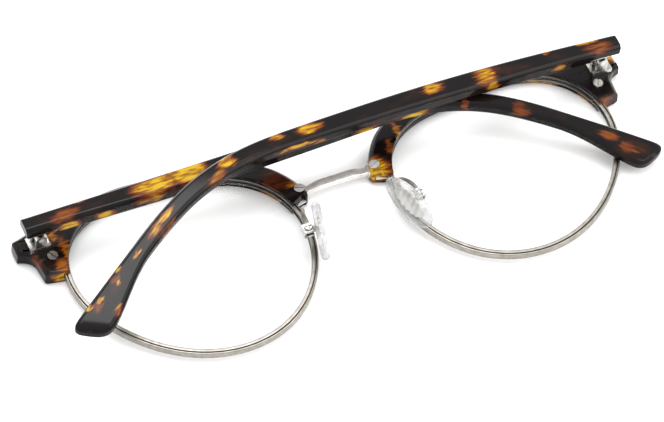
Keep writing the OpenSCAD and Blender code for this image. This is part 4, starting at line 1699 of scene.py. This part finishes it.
TEMPLE_RIGHT = Tortoise(
    "tortoise_temple_right",
    (
        Patch((7.2, 0.6, 0.3), (3.4, 1.0, 1.4), 0.92),
        Patch((5.0, 2.6, 0.5), (4.0, 1.6, 1.4), 0.60),
        Patch((17.0, 0.4, 0.3), (1.5, 0.8, 1.2), 0.82),
        Patch((15.0, 4.3, 1.8), (2.0, 0.9, 1.2), 0.84),
        Patch((32.4, 2.5, 0.5), (3.3, 2.6, 1.8), 0.87),
        Patch((31.2, 4.7, 1.4), (1.8, 1.0, 1.4), 0.82),
        Patch((44.6, 1.8, 0.5), (3.0, 1.8, 1.4), 0.86),
        Patch((74.6, 1.9, 0.5), (3.8, 1.7, 1.4), 0.92),
        Patch((78.0, 4.0, 1.4), (6.5, 0.7, 0.9), 0.90),
        Patch((72.5, 4.2, 2.6), (1.8, 0.8, 1.2), 0.76),
        Patch((81.6, 1.2, 0.4), (2.0, 1.2, 1.2), 0.88),
        Patch((94.6, 1.7, 0.4), (2.6, 1.7, 1.4), 0.95),
        Patch((98.6, 3.2, 0.6), (3.4, 1.1, 1.4), 0.80),
        Patch((114.0, 1.6, 0.4), (3.4, 0.9, 1.4), 0.93),
        Patch((117.4, 1.9, 0.4), (2.6, 1.3, 1.4), 0.90),
        Patch((115.5, 3.1, 1.2), (4.2, 0.8, 1.4), 0.78),
        Patch((124.2, 2.0, 0.3), (1.5, 0.6, 1.0), 0.92),
        Patch((129.4, 0.7, 0.3), (0.7, 0.6, 0.9), 0.86),
        Patch((131.5, 2.5, 0.3), (1.1, 0.6, 0.9), 0.94),
        Patch((131.0, 1.6, 0.3), (1.6, 1.2, 0.9), 0.50),
        Patch((136.6, 1.3, 0.3), (1.3, 0.7, 0.9), 0.90),
        Patch((139.6, 0.7, 0.3), (1.4, 0.7, 0.9), 0.92),
        Patch((138.2, 1.8, 0.3), (2.2, 1.1, 0.9), 0.55),
        Patch((136.4, 5.4, 0.3), (1.5, 0.8, 1.0), 0.92),
        *outer_face((14, 27, 38, 57, 71, 80, 103, 118, 131)),
    ),
    seed=41.0,
)


@dataclass
class Temple:
    """Acetate temple with its hinge recess, ear bend and blunt, slanted tip.

    It is drawn folded, from its butt at the left hinge across the frame: X along it,
    Y towards the brow and Z through it.
    """

    drop: float
    sag: float
    tilt: float
    length: float = 143.2
    bend_from: float = 76.4
    bend_to: float = 121.0
    bend_a: float = 36.2
    curl_from: float = 80.0
    curl: float = 0.00194541
    high: float = 4.0
    mid_high: float = 4.8
    neck_high: float = 3.8
    tip_high: float = 6.9
    thick: float = 3.6
    mid_thick: float = 3.0
    tip_thick: float = 2.4
    skew: float = 0.55
    bevel: float = 0.7
    bevel_in: float = 0.4
    bevel_round: float = 0.42
    butt: float = 3.4
    depth: float = 5.1
    recess: float = 1.2
    recess_end: float = 3.64
    recess_bevel: float = 0.04
    hinge: Triple = (-64.7, 15.2, 7.35)
    butt_rows: tuple[float, ...] = (0.0, 0.03, 0.1, 0.2, 1.5, 3.5, 5.5)
    butt_shares: tuple[float, ...] = (0.93, 0.96, 0.985)
    blunt: float = 1.6
    steps: int = 200
    cap_turn: float = 89.9
    cap_steps: int = 16
    top_steps: int = 1000
    tops: list[Vector] = field(default_factory=list)

    def __post_init__(self) -> None:
        """Lays the temple's top edge out in fine steps."""
        step = self.length / self.top_steps
        place = Vector((0, 0, 0))
        for k in range(self.top_steps + 1):
            self.tops.append(place.copy())
            a = math.radians(self.bend((k + 0.5) * step))
            place += Vector((math.cos(a), -math.sin(a), 0)) * step

    def bend(self, s: float) -> float:
        """Turn of the top edge at a length, in degrees."""
        late = ease((s - self.bend_from) / (self.bend_to - self.bend_from))
        return self.sag * ease(s / self.curl_from) + (self.bend_a - self.sag) * late

    def top(self, s: float) -> Vector:
        """Point of the top edge.

        Args:
            s: Length from the butt.

        Returns:
            The point in the temple's frame.
        """
        share = min(self.top_steps - 0.001, max(0.0, s / self.length * self.top_steps))
        p = self.tops[int(share)].lerp(self.tops[int(share) + 1], share % 1)
        d = math.radians(self.drop)
        x = p.x * math.cos(d) + p.y * math.sin(d) - self.butt
        return Vector((x, p.y * math.cos(d) - p.x * math.sin(d) + self.high / 2, 0))

    def height(self, s: float) -> float:
        """Height of the temple.

        Args:
            s: Length from the butt.

        Returns:
            The height there.
        """
        mid = self.bend_from / 2
        if s < mid:
            return mix(self.high, self.mid_high, ease(s / mid))
        if s < self.bend_to:
            return mix(self.mid_high, self.neck_high, ease((s - mid) / (self.bend_to - mid)))
        return mix(self.neck_high, self.tip_high, self.late(s))

    def late(self, s: float) -> float:
        """Smooth share of the way from the ear bend's end to the tip."""
        return ease((s - self.bend_to) / (self.length - self.bend_to))

    def thickness(self, s: float) -> float:
        """Thickness of the temple.

        Args:
            s: Length from the butt.

        Returns:
            The thickness there.
        """
        if s < self.curl_from:
            return mix(self.thick, self.mid_thick, s / self.curl_from)
        share = (s - self.curl_from) / (self.length - self.curl_from)
        return mix(self.mid_thick, self.tip_thick, share)

    def section(
        self, s: float, share: float = 1.0, recessed: bool = False, round_a: float = 0.0
    ) -> tuple[Ring, Ring]:
        """One ring of the temple and its places in the acetate.

        Args:
            s: Length from the butt.
            share: Height left of the tip's rounding.
            recessed: True where the hinge recess takes the inner half away.
            round_a: How far the outline has turned round the tip, in radians.

        Returns:
            The ring in the temple's frame, and the matching grain.
        """
        full = self.height(s)
        low = (full - full * share) / 2
        high = low + full * share
        z = self.depth - self.curl * max(0.0, s - self.curl_from) ** 2
        inner = z - self.thickness(s)
        b, c = self.bevel, self.bevel_in
        if recessed:
            inner, c = self.depth - self.thick + self.recess, self.recess_bevel
        # a bevelled corner: place across, place through, and how far it stands back from the tip
        over, back = math.cos(round_a), math.sin(round_a)
        corners = [
            Vector((low + b * over, z, b * back)), Vector((high - b * over, z, b * back)),
            Vector((high, z - b, 0)), Vector((high, inner + c, 0)),
            Vector((high - c * over, inner, c * back)), Vector((low + c * over, inner, c * back)),
            Vector((low, inner + c, 0)), Vector((low, z - b, 0)),
        ]
        r, q = b * self.bevel_round, c * self.bevel_round
        p, a = self.top(s), math.radians(self.drop + self.bend(s))
        lean = self.skew * self.late(s)
        ring, grain = [], []
        for e in soften(corners, [r, r, r, q, q, q, q, r], 4):
            along = lean * (full / 2 - e.x) - e.z
            x = p.x + along * math.cos(a) - e.x * math.sin(a)
            ring.append(Vector((x, p.y - along * math.sin(a) - e.x * math.cos(a), e.y)))
            grain.append(Vector((s + along, e.x, z - e.y)))
        return ring, grain

    def rows(self) -> list[tuple[Ring, Ring]]:
        """All rings of the temple with their grain, from the butt to the tip.

        Returns:
            Pairs of ring and grain.
        """
        cap = self.tip_high / 2
        step = self.butt + self.recess_end
        straight = self.length - cap
        rows = [self.section(s, recessed=True) for s in (*self.butt_rows, step)]
        for row, share in zip(rows, self.butt_shares):
            row[0][:] = shrunk(row[0], share)
        rows.append(self.section(step + 0.001))
        for k in range(1, self.steps + 1):
            rows.append(self.section(mix(step, straight, k / self.steps)))
        for k in range(1, self.cap_steps + 1):
            a = math.radians(self.cap_turn * k / self.cap_steps)
            s = straight + cap * math.sin(a) ** (1 / self.blunt)
            rows.append(self.section(s, math.cos(a) ** (1 / self.blunt), round_a=a))
        return rows

    def build(self, side: Side, finish: Tortoise) -> None:
        """Makes the temple of one side in its folded place.

        Args:
            side: The side.
            finish: Its acetate.
        """
        turn = Matrix.Rotation(math.radians(-self.tilt), 3, "Y")
        rows = self.rows()

        def grain(i: int, k: int) -> Vector:
            """Place in the acetate of one point of one ring."""
            return rows[i][1][k]

        placed = [[Vector(self.hinge) + turn @ p for p in ring] for ring, _ in rows]
        name, nodes = f"acetate_temple_{side.tag}", (f"temple_{side.tag}",)
        piece = Piece(name, Body.TEMPLE.of(side), Slot.ACETATE, nodes, crease=40)
        # drawn from the left hinge, so here the right one is the mirror image
        piece.make([placed], finish.build(), side.other, grain)


# ---------------------------------------------------------------- studio


@dataclass(frozen=True)
class SoftBox:
    """A square lamp that faces the glasses, in metres and watts."""

    name: str
    place: Triple
    size: float
    power: float

    def build(self) -> None:
        """Hangs the lamp."""
        data = bpy.data.lights.new(self.name, "AREA")
        data.shape, data.size, data.energy = "SQUARE", self.size, self.power
        obj = new_object(self.name, data)
        obj.location = self.place
        obj.rotation_euler = (-Vector(self.place)).to_track_quat("-Z", "Y").to_euler()


@dataclass
class Studio:
    """Camera, pale floor and soft light."""

    azimuth: float = -29.106
    elevation: float = 53.443
    distance: float = 746.06
    focal: float = 192.446
    sensor: float = 36.0
    roll: float = 6.335
    target: Triple = (-3.31, 3.5625, 0.0)
    clip: tuple[float, float] = (0.05, 20.0)
    floor: float = 1.6
    floor_gap: float = 0.00005
    lit: float = 1.42
    seen: float = 1.0
    lamps: tuple[SoftBox, ...] = (
        SoftBox("key", (0.05, 0.21, 0.78), 0.46, 3.9),
        SoftBox("fill", (0.55, -0.45, 0.55), 0.6, 2.5),
    )

    def camera(self) -> None:
        """Places the camera where the photograph was taken."""
        az, el, roll = (math.radians(v) for v in (self.azimuth, self.elevation, self.roll))
        away = Vector((math.sin(az) * math.cos(el), -math.cos(az) * math.cos(el), math.sin(el)))
        right = (-away).cross(UPWARD).normalized()
        up = right.cross(-away)
        across = right * math.cos(roll) + up * math.sin(roll)
        over = up * math.cos(roll) - right * math.sin(roll)
        data = bpy.data.cameras.new("camera")
        data.lens, data.sensor_width = self.focal, self.sensor
        data.clip_start, data.clip_end = self.clip
        obj = new_object("camera", data)
        turn = Matrix((across, over, away)).transposed().to_4x4()
        place = (Vector(self.target) + away * self.distance) * MM
        obj.matrix_world = Matrix.Translation(place) @ turn
        bpy.context.scene.camera = obj

    def ground(self) -> None:
        """Lays the floor just under the glasses."""
        half = self.floor / 2
        mesh = bpy.data.meshes.new("floor")
        corners = [(half * sx, half * sy, 0) for sx, sy in CORNERS]
        mesh.from_pydata(corners, [], [(0, 1, 2, 3)])
        mesh.materials.append(Paper().build())
        obj = new_object("floor", mesh)
        obj.location.z = -self.floor_gap

    def world(self) -> None:
        """Sets a surrounding that camera, metal and glass see white, and that lights softly."""
        world = bpy.data.worlds.new("studio")
        bpy.context.scene.world = world
        world.use_nodes = True
        tree = world.node_tree
        tree.nodes.clear()
        paths = tree.nodes.new("ShaderNodeLightPath")
        total = paths.outputs["Is Camera Ray"]
        for name in ("Is Glossy Ray", "Is Transmission Ray"):
            both = tree.nodes.new("ShaderNodeMath")
            both.operation = "MAXIMUM"
            tree.links.new(total, both.inputs[0])
            tree.links.new(paths.outputs[name], both.inputs[1])
            total = both.outputs[0]
        level = tree.nodes.new("ShaderNodeMapRange")
        level.inputs["To Min"].default_value = self.lit
        level.inputs["To Max"].default_value = self.seen
        tree.links.new(total, level.inputs["Value"])
        shade = tree.nodes.new("ShaderNodeBackground")
        shade.inputs["Color"].default_value = (1, 1, 1, 1)
        tree.links.new(level.outputs["Result"], shade.inputs["Strength"])
        out = tree.nodes.new("ShaderNodeOutputWorld")
        tree.links.new(shade.outputs[0], out.inputs["Surface"])

    def build(self) -> None:
        """Sets the whole studio."""
        self.camera()
        self.ground()
        self.world()
        for lamp in self.lamps:
            lamp.build()
        bpy.context.scene.view_settings.view_transform = "Standard"


# ---------------------------------------------------------------- scene


def main() -> None:
    """Builds the glasses and the studio."""
    logging.basicConfig(level=logging.INFO, format="%(name)s %(message)s")
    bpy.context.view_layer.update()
    palette = Palette()
    for side, finish in ((Side.LEFT, BROW_LEFT), (Side.RIGHT, BROW_RIGHT)):
        Brow().build(side, finish)
        Eyewire().build(side, palette)
        Lens().build(side, palette)
        NosePad().build(side, palette)
    Bridge().build(palette)
    Temple(drop=-0.5, sag=-0.6, tilt=-0.3).build(Side.LEFT, TEMPLE_LEFT)
    Temple(drop=-1.4, sag=6.1, tilt=4.18279).build(Side.RIGHT, TEMPLE_RIGHT)
    for side in Side:
        Carried().build(side, palette)
    Studio().build()


if __name__ == "__main__":
    main()
